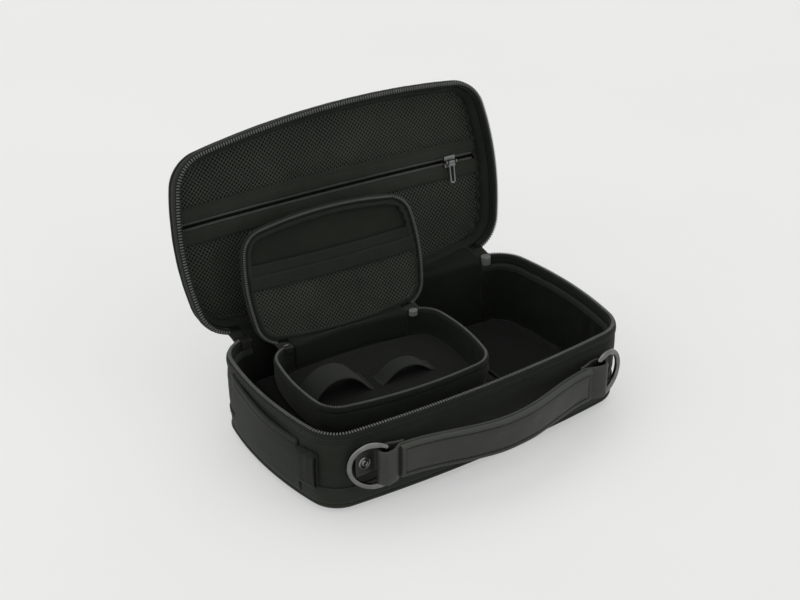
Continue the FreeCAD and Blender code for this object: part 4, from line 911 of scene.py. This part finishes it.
def make_grip():
    """The padded grip: leather sewn over a flat filling, with a groove all round its face."""
    half, tall, thick = 75.5, 24.0, 4.2
    along = np.linspace(-half, half, 220)
    high = np.linspace(-tall / 2, tall / 2, 42)
    end = np.clip((half - np.abs(along)) / 2.2, 0, 1)
    centre, lift = strap_line(along), strap_line(along, 1.0)
    outward_way = lift - centre
    rows = []
    for index, x in enumerate(along):
        roll = np.sqrt(np.clip(1 - np.clip((np.abs(high) - tall / 2 + 1.6) / 1.6, 0, 1) ** 2, 0, 1))
        ease = math.sqrt(1 - (1 - end[index]) ** 2)
        face = thick * (0.35 + 0.65 * roll * ease) + grip_relief(high, x, half, tall) * roll * ease
        face = face + 0.16 * np.sin(x / 13 + high / 5) + 0.1 * np.sin(x / 4.1 - high / 3)
        front = centre[index] + outward_way[index] * face[:, None] + np.outer(high, (0, 0, 1))
        back = centre[index] + outward_way[index] * 1.0 + np.outer(high[::-3], (0, 0, 1)) * 0.97
        rows.append(np.vstack([front, back]))
    grip = grid("handle_grip_pad", np.array(rows), BASE, STRAP_LEATHER, round_v=True, cap_u=True)
    finish_piece(grip, "base", ["handle_grip"])
    seam = tall / 2 - 3.2
    across = np.linspace(3.4 - half, half - 3.4, 120)
    out = strap_line(across, 1.0) - strap_line(across)
    for row, level in (("top", seam), ("bottom", -seam)):
        line = strap_line(across, thick - 0.15) + np.array((0, 0, level))
        stitches(f"handle_grip_stitches_{row}", line, out, BASE, pitch=3.0, thick=0.5)


def make_anchor_tab(side, sign):
    """A leather tab, riveted to the wall, whose narrow end goes round the ring's bar."""
    wall, neck, bend = 69.3, 73.4, 2.85  # where the wall and the neck are, and the loop's radius
    flat = [(x, -wall - 0.6) for x in (101.0, 97.0, 93.0, 89.0)]
    out = [(86.6, -wall - 1.6), (86.0, -neck)]
    loop = [(BAR[0] + bend * math.cos(a), BAR[1] + bend * math.sin(a))
            for a in np.radians(np.linspace(50, -230, 12))]
    back = [(83.2, -neck), (82.6, -wall - 1.6), (81.0, -wall - 0.6)]
    path = spline(np.array([(sign * x, y, BAR[2]) for x, y in flat + out + loop + back]), 1.0)
    half = 5.2 + 2.9 * np.clip((path[:, 1] + 73.0) / 2.5, 0, 1)
    tab = ribbon(f"anchor_tab_{side}_leather", path, (0, 0, 1), BASE, TAB_LEATHER, half, 0.62, 0.5)
    finish_piece(tab, "base", [f"anchor_tab_{side}"])


def make_rivets():
    """Two tubular rivets with a dished head: a raised outer ring and a raised inner one."""
    low, high = (np.array(corner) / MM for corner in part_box("rivets"))
    radius, deep = (high[2] - low[2]) / 2, high[1] - low[1]
    rings = [(0.06, 0.62), (0.22, 0.6), (0.30, 0.9), (0.40, 0.98), (0.49, 0.74), (0.60, 0.6), (0.70, 0.64),
             (0.80, 0.9), (0.89, 0.94), (0.97, 0.7), (1.0, 0.35), (1.0, 0.0)]
    sides = 40
    template = np.array([(radius * r * math.cos(a), radius * r * math.sin(a), deep * up)
                         for r, up in rings for a in np.arange(sides) * 2 * math.pi / sides])
    faces = ring_faces(len(rings), sides)
    middle = (low[2] + high[2]) / 2
    origins = np.array([(low[0] + radius, high[1], middle), (high[0] - radius, high[1], middle)])
    axes = np.tile(np.array([(1.0, 0, 0), (0, 0, 1.0), (0, -1.0, 0)]), (2, 1, 1))
    heads = scatter("rivet_heads", template, faces, origins, axes, BASE, RIVET_METAL)
    finish_piece(heads, "base", ["rivets"])


# ---- lid ----------------------------------------------------------------------------------------

LID_DEEP = 25.0
LID_BAND = 7.0
PANEL = 14.5


def crowned(points, low, high, amount):
    """A panel's filled middle: raised most at its centre."""
    half = np.abs(points[..., :2]).max(axis=(0, 1))
    middle = np.prod(np.cos(np.clip(points[..., :2] / half, -1, 1) * math.pi / 2), axis=-1)
    top = np.clip((points[..., 2] - low) / (high - low), 0, 1)
    points[..., 2] += amount * middle * top
    return points


def lid_taper(height):
    """How far the lid's moulded wall stands in at a height above its rim."""
    return 0.16 * height + 0.3


def make_lid_shell():
    low, high = LID_BAND, LID_DEEP
    outer = [(1.2 + lid_taper(low), low + 0.2), (0.3 + lid_taper(low), low + 1.0)]
    outer += [(lid_taper(z), z) for z in (low + 3, low + 7, high - 8)]
    outer += [(lid_taper(high) + 0.9, high - 3.2), (lid_taper(high) + 3.4, high - 0.8), (12.5, high)]
    inner = [(12.5, high - 2.6), (9.0, high - 3.2), (7.2, high - 7), (3.4 + lid_taper(low), low + 3),
             (2.7 + lid_taper(low), low + 0.6)]

    def shape(points, normal):
        points = crowned(points, high - 4, high, 1.6)
        fade = np.clip((points[..., 2] - low) / 4, 0, 1)
        wave = swell(points, 60, 41) * 0.5 * fade
        points[..., 2] += swell(points, 75, 45) * 0.35 * (points[..., 2] > high - 5)
        return outward(points, normal, wave * (points[..., 2] < high - 1))

    profile = np.vstack([spline(inner, 2.2), spline(outer, 2.2)])
    shell = sweep("lid_shell_cloth", LID, profile, SHELL_CLOTH, shape=shape, filled=True)
    finish_piece(shell, "lid", ["lid_shell"])


def make_lid_trim():
    high = 14.0
    welt = sweep("lid_top_piping", LID, round_profile(0.2 + lid_taper(high), high, 1.15), PIPING_CLOTH,
                 closed=True, shape=piping_shape(0.1, 6))
    finish_piece(welt, "lid", ["lid_top_welt"])
    span = round_from_gap(LID, GAP_HALF)
    make_zip_band("lid_zip_band", LID, span, 0.1, LID_BAND - 0.1, "lid_zip_tape", 33)
    make_rim_teeth("lid_teeth", LID, span, 0.6, "lid_zip_teeth", offset=1.4)


def make_lid_lining():
    """The lid's inner wall, a soft roll of lining from the zip tape to the mesh, and the cloth behind."""
    face = [(13, 20.6), (9.0, 20.3), (7.8, 18.5), (7.0, 15.0), (6.2, 11.0), (5.4, 8.0), (4.4, 5.6)]
    rear = [(4.3, 7.4), (6.4, 14), (7.4, 19.0), (9.2, 21.0), (13, 21.3)]

    def shape(points, normal):
        height = points[..., 2]
        fade = np.clip((height - 5.6) / 3, 0, 1) * np.clip((20 - height) / 4, 0, 1)
        roll = 1.1 * np.exp(-((height - 10.5) / 3.0) ** 2)
        loose = looseness(points, 20, 1.1, 8, 0.4, 51)
        near = (height < 20.8) & (height > 5.0)
        return outward(points, normal, -(roll + loose) * fade * near)

    profile = np.vstack([spline(face, 2.0), spline(rear, 2.4)])
    lining = sweep("lid_lining_cloth", LID, profile, LID_LINING, shape=shape, filled=True)
    finish_piece(lining, "lid", ["lid_lining"])


def make_mesh_frame():
    """The bound edge of the mesh pocket, gathered by its elastic along the right side."""
    ring = [(6.0, 0.2), (6.8, -0.9), (8.6, -1.0), (9.8, -0.2), (9.8, 0.6), (8.6, 1.0), (6.8, 1.0)]
    ring = [(offset, PANEL + z) for offset, z in ring]

    def gathered(points, normal):
        right = np.clip(points[..., 0] / 60 - 0.8, 0, 1)
        scallop = np.sin(points[..., 1] * 2 * math.pi / 7.4 + 1.2 * np.sin(points[..., 1] / 11))
        inner = np.linspace(0, 1, points.shape[1])[None, :]
        points = outward(points, normal, swell(points, 14, 61) * 0.4 - 0.55 * scallop * right)
        points[..., 2] += 1.2 * scallop * right * np.sin(inner * math.pi)
        return points

    frame_ring = sweep("lid_mesh_binding", LID, spline(ring, 1.0, closed=True), PIPING_CLOTH,
                       closed=True, pitch=1.5, shape=gathered)
    finish_piece(frame_ring, "lid", ["lid_mesh_frame"])


POCKET_SLOPE = math.tan(math.radians(2.5))
POCKET_LINE = -8.5


def pocket_y(across, along=0.0):
    """The lid-frame y of a line that runs along the pocket's zip, at a distance from it."""
    sag = 1.3 * (1 - (np.asarray(across) / 115) ** 2)
    return POCKET_LINE + across * POCKET_SLOPE + along - sag


def flat_points(x, y):
    return np.stack([x, y, np.zeros_like(x)], axis=-1)


def net_level(x, y, seed):
    """The mesh hangs a little slack: proud in the middle of each panel, with pulled folds."""
    folds = np.sin((x * 0.94 + y * 0.34) / 6.5 + 2.0 * np.sin(y / 21)) * 0.35
    return swell(flat_points(x, y), 34, seed) * 0.8 + folds


def net_cells(line, inset, cell, hem):
    """The (column, row) of each diamond whose middle lies inside the outline and the hem."""
    columns, rows = (int(half / cell * 2) + 2 for half in (line.side(0.0, inset), line.back(0.0, inset)))
    i, j = np.meshgrid(np.arange(-columns, columns + 1), np.arange(-rows, rows + 1), indexing="ij")
    x, y = i * cell / 2, j * cell / 2
    inside = (np.abs(y) < line.back(x, inset)) & (np.abs(x) < line.side(y, inset))
    keep = inside & (hem(x, y) > 0) & ((i + j) % 2 == 0)
    return list(zip(i[keep].tolist(), j[keep].tolist()))


def net_strands(cells, cell):
    """The strands round each diamond hole: the points, the faces and their UV map."""
    hole = 0.74  # of a cell
    verts, index, faces = [], {}, []

    def corner(i, j):
        if (i, j) not in index:
            index[(i, j)] = len(verts)
            verts.append((i * cell / 2, j * cell / 2))
        return index[(i, j)]

    for i, j in cells:
        outer = [corner(i + 1, j), corner(i, j + 1), corner(i - 1, j), corner(i, j - 1)]
        middle_x, middle_y = i * cell / 2, j * cell / 2
        inner = range(len(verts), len(verts) + 4)
        for x, y in [verts[k] for k in outer]:
            verts.append((middle_x + (x - middle_x) * hole, middle_y + (y - middle_y) * hole))
        faces += [(outer[k], outer[(k + 1) % 4], inner[(k + 1) % 4], inner[k]) for k in range(4)]
    return np.array(verts), faces, [(0, 0), (1.9, 0), (1.5, 0.4), (0.3, 0.4)] * len(faces)


def net(name, part, inset, level, seed, hem, node, cell=3.1, bulge=-1.2):
    """Diamond net as real strands, cut to the outline and to its hem, which gives a point's distance
    from the sewn straight edge. It lies flat at its edges and bulges between them."""
    flat, faces, uvs = net_strands(net_cells(part.line, inset, cell, hem), cell)
    x, y = flat[:, 0], flat[:, 1]
    room_x, room_y = part.line.side(0.0, inset) - np.abs(x), part.line.back(0.0, inset) - np.abs(y)
    fade = np.clip(np.minimum(room_x, room_y) / 14, 0, 1) * np.clip(hem(x, y) / 9 - 0.25, 0, 1)
    z = level + (net_level(x, y, seed) + bulge) * fade
    points = place_points(np.column_stack([flat, z]), part.place)
    obj = new_object(name, points, faces, MESH_CLOTH, uvs)
    solid = obj.modifiers.new("thickness", "SOLIDIFY")
    solid.thickness, solid.offset = 0.26 * MM, 0.0
    apply_modifiers(obj)
    finish_piece(obj, part.body, [node])


def make_lid_nets():
    tape_half, inset, level = 11.5, 7.4, PANEL + 0.5
    net("lid_net_upper", LID, inset, level, 71, lambda x, y: pocket_y(x, -tape_half) - y, "lid_mesh_upper")
    net("lid_net_lower", LID, inset, level, 72, lambda x, y: y - pocket_y(x, tape_half), "lid_mesh_lower")


def flat_band(name, part, x, y, z, thick, material, node):
    """A band through a grid of middle points, given its thickness along z."""
    front, rear = (np.stack([x, y, z + way * thick / 2], axis=-1) for way in (-1, 1))
    points = np.concatenate([front, rear[:, ::-1]], axis=1)
    band = grid(name, points, part, material, round_v=True, cap_u=True)
    finish_piece(band, part.body, [node])


def make_pocket_tape(side, low, high, seed):
    """A tape sewn across the lid, its edges low and high along the zip's line."""
    x = np.linspace(-1, 1, 110)[:, None]
    t = np.linspace(0, 1, 9)[None, :]
    along = low + (high - low) * t
    across = x * LID.line.side(pocket_y(x, along), 6.2)
    y = pocket_y(across, along)
    z = PANEL + 0.2 + swell(flat_points(across, y), 30, seed) * 0.45 - 0.5 * np.sin(math.pi * t)
    flat_band(f"pocket_tape_{side}_cloth", LID, across, y, z, 0.9, BAND_CLOTH, f"pocket_tape_{side}")


def pocket_line(half, count, along, height):
    """Points on a line that runs along the pocket's zip, at a distance from it."""
    x = np.linspace(-half, half, count)
    return np.column_stack([x, pocket_y(x, along), np.full(count, height)])


def make_pocket_zip():
    for side, low, high, seam, row, seed in (("upper", -12.6, -2.6, -11.1, -1.9, 81),
                                             ("lower", 2.6, 13.0, 11.5, 1.9, 82)):
        make_pocket_tape(side, low, high, seed)
        stitches(f"pocket_tape_{side}_stitches", pocket_line(112, 150, seam, PANEL - 0.75), (0, 0, -1), LID)
        zip_teeth(f"pocket_teeth_{side}_coil", pocket_line(116.5, 300, row, PANEL + 0.3), LID,
                  f"pocket_teeth_{side}", pitch=1.3, reach=1.8, wide=0.85, tall=1.1)


# ---- hinge cloth --------------------------------------------------------------------------------

def hinge_sheet(name, half, count, route, thick, material, sag, seed):
    """A sheet of cloth that runs from a base's back wall over the hinge into its lid, and its flat
    width and length. route is a list of (part, offset from the back edge, height), going up."""
    x = np.linspace(-half, half, count)
    rows = [place_points(np.column_stack([x, part.line.back(x, offset), np.full(count, height)]),
                         part.place) / MM for part, offset, height in route]
    lines = np.array(rows).transpose(1, 0, 2)
    steps = steps_between(lines[count // 2], 1.8)
    dense = np.array([through(line, steps) for line in lines])
    normal = np.cross(np.gradient(dense, axis=1), np.array((1.0, 0, 0)))
    normal /= np.linalg.norm(normal, axis=-1)[..., None]
    slack = swell(dense, 24, seed) * sag
    front, rear = (dense + normal * (slack + way * thick / 2)[..., None] for way in (1, -1))
    points = np.concatenate([front, rear[:, ::-1]], axis=1)
    sheet = grid(name, points, BASE, material, round_v=True, cap_u=True)
    width = dense[-1, 0, 0] - dense[0, 0, 0]
    return sheet, (width * MM, lengths_along(dense[count // 2])[-1] * MM)


def finish_hinge(made, nodes):
    """What a hinge's sheet says: the CAD nodes it stands for, and its place, baked into its points."""
    sheet, flat = made
    finish_piece(sheet, None, nodes)
    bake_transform(sheet)


def make_main_hinge():
    inner = [(BASE, 5.3, 7.0), (BASE, 5.2, 20.0), (BASE, 5.1, 38.0), (BASE, 4.9, 50.5), (BASE, 3.4, 56.2),
             (LID, 3.2, -0.6), (LID, 4.6, 3.0), (LID, 4.9, 7.5)]
    flap = hinge_sheet("hinge_flap_cloth", 95.0, 80, inner, 0.8, LINING_CLOTH_PAINTED_SHADE, 0.3, 91)
    finish_hinge(flap, ["hinge_flap"])
    outer = [(BASE, 0.7, WALL_TOP - 3.0), (BASE, 0.0, WALL_TOP + 0.6), (BASE, 0.3, 55.5), (LID, 0.5, 0.2),
             (LID, 0.4, 3.5), (LID, 1.0, 6.8), (LID, 1.7, 9.5)]
    gusset = hinge_sheet("hinge_gusset_cloth", 104.5, 84, outer, 1.1, SHELL_CLOTH, 0.3, 92)
    finish_hinge(gusset, ["hinge_gusset", "lid_hinge_strip"])


# ---- shelf --------------------------------------------------------------------------------------

def soft_box(name, low, high, material, round_by=3.0):
    """A closed box with rounded edges, fine enough to be blown up."""
    bm = bmesh.new()
    bmesh.ops.create_cube(bm, size=1.0)
    for vertex in bm.verts:
        corner = [(low[k] + high[k]) / 2 + vertex.co[k] * (high[k] - low[k]) for k in range(3)]
        vertex.co = Vector(corner) * MM
    bmesh.ops.bevel(bm, geom=bm.edges[:], offset=round_by * MM, segments=3, affect="EDGES")
    long_edges = [edge for edge in bm.edges if edge.calc_length() > 12 * MM]
    bmesh.ops.subdivide_edges(bm, edges=long_edges, cuts=9, use_grid_fill=True)
    mesh = bpy.data.meshes.new(name)
    bm.to_mesh(mesh)
    bm.free()
    mesh.materials.append(material)
    obj = bpy.data.objects.new(name, mesh)
    bpy.context.scene.collection.objects.link(obj)
    mesh.shade_smooth()
    box_uvs(obj)
    return obj


def make_shelf():
    """The padded shelf: a top and two legs, each a quilted panel, and a binding along the top's front and
    right edges.
    """
    low, high = (Vector(corner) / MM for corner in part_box("shelf_divider"))
    wall, voxel = 5.0, 0.0022
    top = soft_box("shelf_top_pad", (low.x, low.y, high.z - wall), high, PAD_CLOTH_PAINTED_SHADE)
    puffed(top, voxel, pressure=3.0, cap=0.0012)
    finish_piece(top, "base", ["shelf_divider"])
    leg_top = high.z - wall - 0.4
    for side, left, right in (("left", low.x, low.x + wall), ("right", high.x - wall, high.x)):
        leg = soft_box(f"shelf_leg_pad_{side}", (left + 0.3, low.y + 1, low.z),
                       (right - 0.3, high.y - 1, leg_top), PAD_CLOTH_PAINTED_SHADE, 1.8)
        puffed(leg, voxel, pressure=2.0, cap=0.0010)
        finish_piece(leg, "base")
    level = high.z - wall / 2
    edge = [(low.x + 2, low.y - 0.2, level), (0, low.y - 0.4, level - 0.1),
            (high.x - 3, low.y - 0.2, level), (high.x + 0.2, low.y + 4, level),
            (high.x + 0.3, 10, level), (high.x, high.y - 4, level)]
    binding = ribbon("shelf_binding", spline(edge, 2.0), (0, 0, 1), BASE, PIPING_CLOTH, 2.9, 0.7, 0.6)
    finish_piece(binding, "base")


# ---- small case ---------------------------------------------------------------------------------

MINI_GAP = 51.0  # the small zip stops this far from the middle of the back
MINI_WALL = 2.8
MINI_TOP = MINI_TALL - 5.0  # where the small case's cloth ends and its zip tape begins
CAP_DEEP, CAP_BAND, CAP_MESH = 7.6, 3.4, 1.9
CAP_TILT = 0.012  # the slope of its pocket's bands


def make_mini_shell():
    top = MINI_TOP
    outer = [(8, 0.1), (3.6, 0.5), (1.3, 2.6), (0.5, 6), (-0.15, 12), (0.1, top - 1.2), (0.8, top - 0.1)]
    inner = [(1.7, top - 0.4), (1.95, 12), (2.2, 5), (4.5, 2.3), (8, 2.0)]
    shell = sweep("mini_shell_cloth", MINI, spline(outer + inner, 1.8), SHELL_CLOTH, pitch=2.0,
                  shape=slack_walls(0.4, 13, low=1.5, scale=34), filled=True)
    finish_piece(shell, "mini_case", ["mini_base_shell"])


def make_mini_lining():
    face = [(10, 3.5), (5.2, 3.7), (3.6, 6), (3.35, 12), (3.3, MINI_TOP + 1.6)]
    back = [(2.7, MINI_TOP + 1.7), (2.4, 12), (2.7, 5), (5, 2.8), (9, 2.5)]

    def loose(points, normal):
        height = points[..., 2]
        fade = np.clip((height - 5) / 4, 0, 1) * np.clip((MINI_TOP - height) / 3, 0, 1)
        return outward(points, normal, -np.abs(swell(points, 22, 15)) * 0.8 * fade)

    lining = sweep("mini_lining_cloth", MINI, spline(face + back, 2.0), LINING_CLOTH_PAINTED_SHADE, pitch=2.0,
                   shape=loose, filled=True)
    finish_piece(lining, "mini_case", ["mini_base_lining"])


def make_mini_floor():
    edge = [(7.5, 3.7), (5.6, 4.2), (5.4, 5.0), (6.4, 5.5), (9, 5.7)]
    pad = sweep("mini_floor_cushion", MINI, edge, PAD_CLOTH_PAINTED_SHADE, pitch=4.0, filled=True)
    puffed(pad, voxel=0.0012, pressure=2.0, cap=0.0006)
    finish_piece(pad, "mini_case", ["mini_floor_panel"])


def make_mini_rim():
    span = round_from_gap(MINI, MINI_GAP)
    make_zip_band("mini_zip_band", MINI, span, MINI_TOP + 0.1, MINI_TALL - 0.1, "mini_base_zip_tape", 35,
                  wall=MINI_WALL)
    make_rim_teeth("mini_teeth", MINI, span, MINI_TALL - 0.6, "mini_base_zip_teeth", offset=1.5, reach=1.8,
                   pitch=1.5)


def make_band(name, node, left, right, middle, wide, rise):
    """An elastic band arched over the tray, its feet tucked into the floor's seams."""
    floor, foot = 6.0, 3.0
    ends = [(left - 0.5, floor + 0.4), (left + foot * 0.7, floor + 0.5)]
    half, centre = (right - left) / 2 - foot, (left + right) / 2
    angles = np.linspace(-1, 1, 9)
    arch = [(centre + half * a, floor + 0.5 + (rise - 0.6) * (1 - abs(a) ** 2.3)) for a in angles]
    points = ends + arch[1:-1] + [(right - foot * 0.7, floor + 0.5), (right + 0.5, floor + 0.4)]
    path = np.array([(x, middle, z) for x, z in spline(np.array(points), 1.4)])

    def waisted(grid_points):
        # elastic narrows a little where it is stretched most
        pull = np.clip((grid_points[..., 2] - floor) / rise, 0, 1)
        grid_points[..., 1] = middle + (grid_points[..., 1] - middle) * (1 - 0.07 * pull)
        return grid_points

    band = ribbon(name, path, (0, 1, 0), MINI, ELASTIC_CLOTH, wide / 2, 0.5, 0.35, shape=waisted)
    finish_piece(band, "mini_case", [node])


def make_cap_shell():
    low, high = CAP_BAND, CAP_DEEP
    outer = [(0.9, low + 0.1), (0.1, low + 0.9), (-0.1, high - 2.6), (1.0, high - 0.8), (3.2, high),
             (7, high + 0.15)]
    inner = [(7, high - 2), (3.2, high - 2.1), (2.0, high - 2.9), (1.9, low + 0.4)]

    def shape(points, normal):
        points = crowned(points, high - 1, high, 0.7)
        return outward(points, normal, swell(points, 38, 43) * 0.3 * (points[..., 2] < high - 0.6))

    profile = np.vstack([spline(inner, 1.4), spline(outer, 1.4)])
    shell = sweep("mini_lid_shell_cloth", CAP, profile, SHELL_CLOTH, pitch=2.0, shape=shape, filled=True)
    finish_piece(shell, "mini_lid", ["mini_lid_shell"])


def make_cap_lining():
    face = [(9, 4.7), (4.6, 4.6), (3.4, 3.6), (3.4, 2.6), (2.8, 1.9)]
    rear = [(2.3, 2.6), (2.4, 4.4), (3.4, 5.3), (9, 5.3)]

    def loose(points, normal):
        height = points[..., 2]
        roll = 0.9 * np.exp(-((height - 3.0) / 1.0) ** 2) + np.abs(swell(points, 16, 53)) * 0.3
        return outward(points, normal, -roll * ((height < 4.2) & (height > 2.2)))

    lining = sweep("mini_lid_lining_cloth", CAP, np.vstack([spline(face, 1.2), spline(rear, 1.6)]),
                   LID_LINING, pitch=2.0, shape=loose, filled=True)
    finish_piece(lining, "mini_lid", ["mini_lid_lining"])


def make_cap_rim():
    span = round_from_gap(CAP, MINI_GAP)
    make_zip_band("mini_lid_zip_band", CAP, span, 0.1, CAP_BAND - 0.05, "mini_lid_zip_tape", 37,
                  wall=MINI_WALL)
    make_rim_teeth("mini_lid_teeth", CAP, span, 0.6, "mini_lid_zip_teeth", offset=1.2, reach=1.8, pitch=1.5)


def cap_y(v):
    """The small lid's y at a distance up from its hinge edge."""
    return CAP_WIDTH / 2 - v


def make_cap_band(name, node, low, high, level, seed):
    """An elastic band across the small lid, its middle drawn down and pressed in."""
    x = np.linspace(-1, 1, 70)[:, None]
    t = np.linspace(0, 1, 7)[None, :]
    y = cap_y(low + (high - low) * t + 0 * x)
    across = x * CAP.line.side(y, 4.0)
    y = y + across * CAP_TILT + 1.2 * (1 - x ** 2)
    z = level + swell(flat_points(across, y), 26, seed) * 0.3 - 0.8 * (1 - x ** 4)
    flat_band(name, CAP, across, y, z, 0.9, ELASTIC_CLOTH, node)


def make_cap_pockets():
    """The small lid's net pocket, sewn into three, with its elastic top and a second band behind."""
    net("mini_net", CAP, 5.2, CAP_MESH, 73, lambda x, y: y - cap_y(43.5 - x * CAP_TILT),
        "mini_mesh_pocket", cell=2.9, bulge=-0.5)
    make_cap_band("mini_elastic_front", "mini_mesh_elastic", 42.5, 52.0, 1.5, 83)
    make_cap_band("mini_elastic_rear", "mini_rear_elastic", 51.0, 59.0, 2.9, 84)
    for number, x in enumerate((15.0, 35.0)):
        v = np.linspace(8, 51, 30)
        seam = np.column_stack([np.full(len(v), x), cap_y(v), np.full(len(v), CAP_MESH - 1.15)])
        stitches(f"mini_pocket_seam_{number}", seam, (0, 0, -1), CAP, pitch=2.4, long=1.9)


def make_cap_binding():
    ring = [(3.6, 2.4), (4.2, 1.5), (5.6, 1.3), (6.6, 1.9), (6.5, 2.7), (5.0, 3.1)]

    def gathered(points, normal):
        right = np.clip(points[..., 0] / 30 - 0.8, 0, 1)
        scallop = np.sin(points[..., 1] * 2 * math.pi / 5.6)
        return outward(points, normal, swell(points, 12, 63) * 0.3 - 0.5 * scallop * right)

    binding = sweep("mini_net_binding", CAP, spline(ring, 0.9, closed=True), PIPING_CLOTH, closed=True,
                    pitch=1.4, shape=gathered)
    finish_piece(binding, "mini_lid")


def make_mini_hinge():
    below, above = (0, MINI_PIVOT.y - 1.8, MINI_PIVOT.z - 1.6), (0, MINI_PIVOT.y + 1.8, MINI_PIVOT.z + 1.2)
    start, end = (tuple(place_points(np.array([point]), MINI.place)[0]) for point in (below, above))
    inner = [(MINI, 4.0, 6.0), (MINI, 3.9, 12.0), (MINI, 3.6, 18.5), (MINI, 2.6, 22.2), (CAP, 2.4, -0.3),
             (CAP, 3.2, 1.8), (CAP, 3.9, 3.6)]
    flap = hinge_sheet("mini_hinge_flap_cloth", 43.0, 50, inner, 0.7, LINING_CLOTH_PAINTED_SHADE, 0.2, 93)
    finish_hinge(flap, ["mini_hinge_flap"])
    outer = [(MINI, 0.6, 16.5), (MINI, 0.0, 19.6), (MINI, 0.3, 22.0), (CAP, 0.4, 0.1), (CAP, 0.1, 2.0),
             (CAP, 0.4, 4.6)]
    gusset = hinge_sheet("mini_hinge_gusset_cloth", 53.5, 56, outer, 0.9, SHELL_CLOTH, 0.2, 94)
    finish_hinge(gusset, ["mini_hinge_gusset", "mini_lid_hinge_strip"])


# ---- hard parts that keep their CAD shapes ------------------------------------------------------

def dress_cad_parts():
    """Metal and moulded parts keep their CAD shape, with slightly softened edges."""
    zips = [f"{place}_{part}" for place in ("main", "pocket", "mini") for part in ("slider", "pull")]
    looks = {RING_METAL: ["d_ring_left", "d_ring_right"], RIVET_METAL: ["rivet_washers"], ZIP_METAL: zips,
             TAB_PLASTIC: ["zip_end_tab", "mini_zip_end_tab"]}
    for material, nodes in looks.items():
        for node in nodes:
            obj = frame["nodes"][node]
            obj.data.materials.clear()
            obj.data.materials.append(material)
            obj.data.shade_smooth()
            bevel = obj.modifiers.new("worn_edges", "BEVEL")
            bevel.width, bevel.segments, bevel.limit_method = 0.12 * MM, 2, "ANGLE"
            bevel.angle_limit = math.radians(50)


# ---- room, light and camera ---------------------------------------------------------------------

def make_floor():
    bpy.ops.mesh.primitive_plane_add(size=12.0, location=(0, 0, -0.0002))
    floor = bpy.context.object
    floor.name = "floor"
    n = Nodes("floor_paper")
    place = n.place()
    paper = n.ramp(n.noise(place, 3.0), 0.3, 0.7, (0.39, 0.39, 0.387), (0.41, 0.41, 0.407))
    glow = 0.4  # a lit sweep, so that shadows stay faint
    n.look(Base_Color=paper, Emission_Color=(1.0, 1.0, 0.997, 1), Emission_Strength=glow, Roughness=0.75,
           Specular_IOR_Level=0.2, Normal=n.bump(n.noise(place, 700.0, 2.0), 0.0001, 0.2))
    floor.data.materials.append(n.material)


def area_light(name, place, target, size, power):
    light = bpy.data.lights.new(name, "AREA")
    light.shape, light.size, light.energy = "DISK", size, power
    obj = bpy.data.objects.new(name, light)
    obj.location = place
    obj.rotation_mode = "QUATERNION"
    obj.rotation_quaternion = (Vector(target) - Vector(place)).to_track_quat("-Z", "Y")
    bpy.context.scene.collection.objects.link(obj)


def make_light():
    world = bpy.data.worlds.new("studio")
    world.use_nodes = True
    world.node_tree.nodes["Background"].inputs["Color"].default_value = (1.0, 1.0, 0.995, 1)
    world.node_tree.nodes["Background"].inputs["Strength"].default_value = 0.92
    bpy.context.scene.world = world
    middle = (0, 0, 0.05)
    area_light("key", (-1.5, 0.2, 1.2), middle, 1.8, 4.5)
    area_light("top", (0.2, 0.6, 1.7), middle, 1.6, 3)


def make_camera():
    camera = bpy.data.cameras.new("camera")
    camera.lens, camera.sensor_width = 76.9, 36.0
    camera.clip_start, camera.clip_end = 0.05, 50.0
    obj = bpy.data.objects.new("camera", camera)
    azimuth, elevation, distance = math.radians(-34.9), math.radians(30.3), 1.2188
    back = Vector((math.sin(azimuth) * math.cos(elevation), -math.cos(azimuth) * math.cos(elevation),
                   math.sin(elevation)))
    obj.location = Vector((0.0419, 0.0878, 0.0295)) + back * distance
    obj.rotation_mode = "QUATERNION"
    obj.rotation_quaternion = (-back).to_track_quat("-Z", "Y")
    bpy.context.scene.collection.objects.link(obj)
    bpy.context.scene.camera = obj
    bpy.context.scene.view_settings.view_transform = "Standard"


# ---- the whole pouch ----------------------------------------------------------------------------

def make_base():
    make_base_shell()
    make_base_skirt()
    make_base_piping()
    make_base_lining()
    make_base_binding()
    make_floor_pad()
    make_base_rim()
    make_slip_pocket()
    make_webbing_loop()
    make_shelf()


def make_front():
    make_strap()
    make_grip()
    for side, sign in (("left", -1), ("right", 1)):
        make_anchor_tab(side, sign)
    make_rivets()


def make_lid():
    make_lid_shell()
    make_lid_trim()
    make_lid_lining()
    make_mesh_frame()
    make_lid_nets()
    make_pocket_zip()
    make_main_hinge()


def make_small_case():
    make_mini_shell()
    make_mini_lining()
    make_mini_floor()
    make_mini_rim()
    make_band("mini_band_wide", "mini_wide_band", -59.0, -11.0, 1.0, 22.0, 15.0)
    make_band("mini_band_narrow", "mini_stick_band", -5.0, 35.0, -3.0, 13.0, 9.0)
    make_cap_shell()
    make_cap_lining()
    make_cap_rim()
    make_cap_pockets()
    make_cap_binding()
    make_mini_hinge()


make_camera()
make_light()
make_floor()
make_base()
make_front()
make_lid()
make_small_case()
dress_cad_parts()
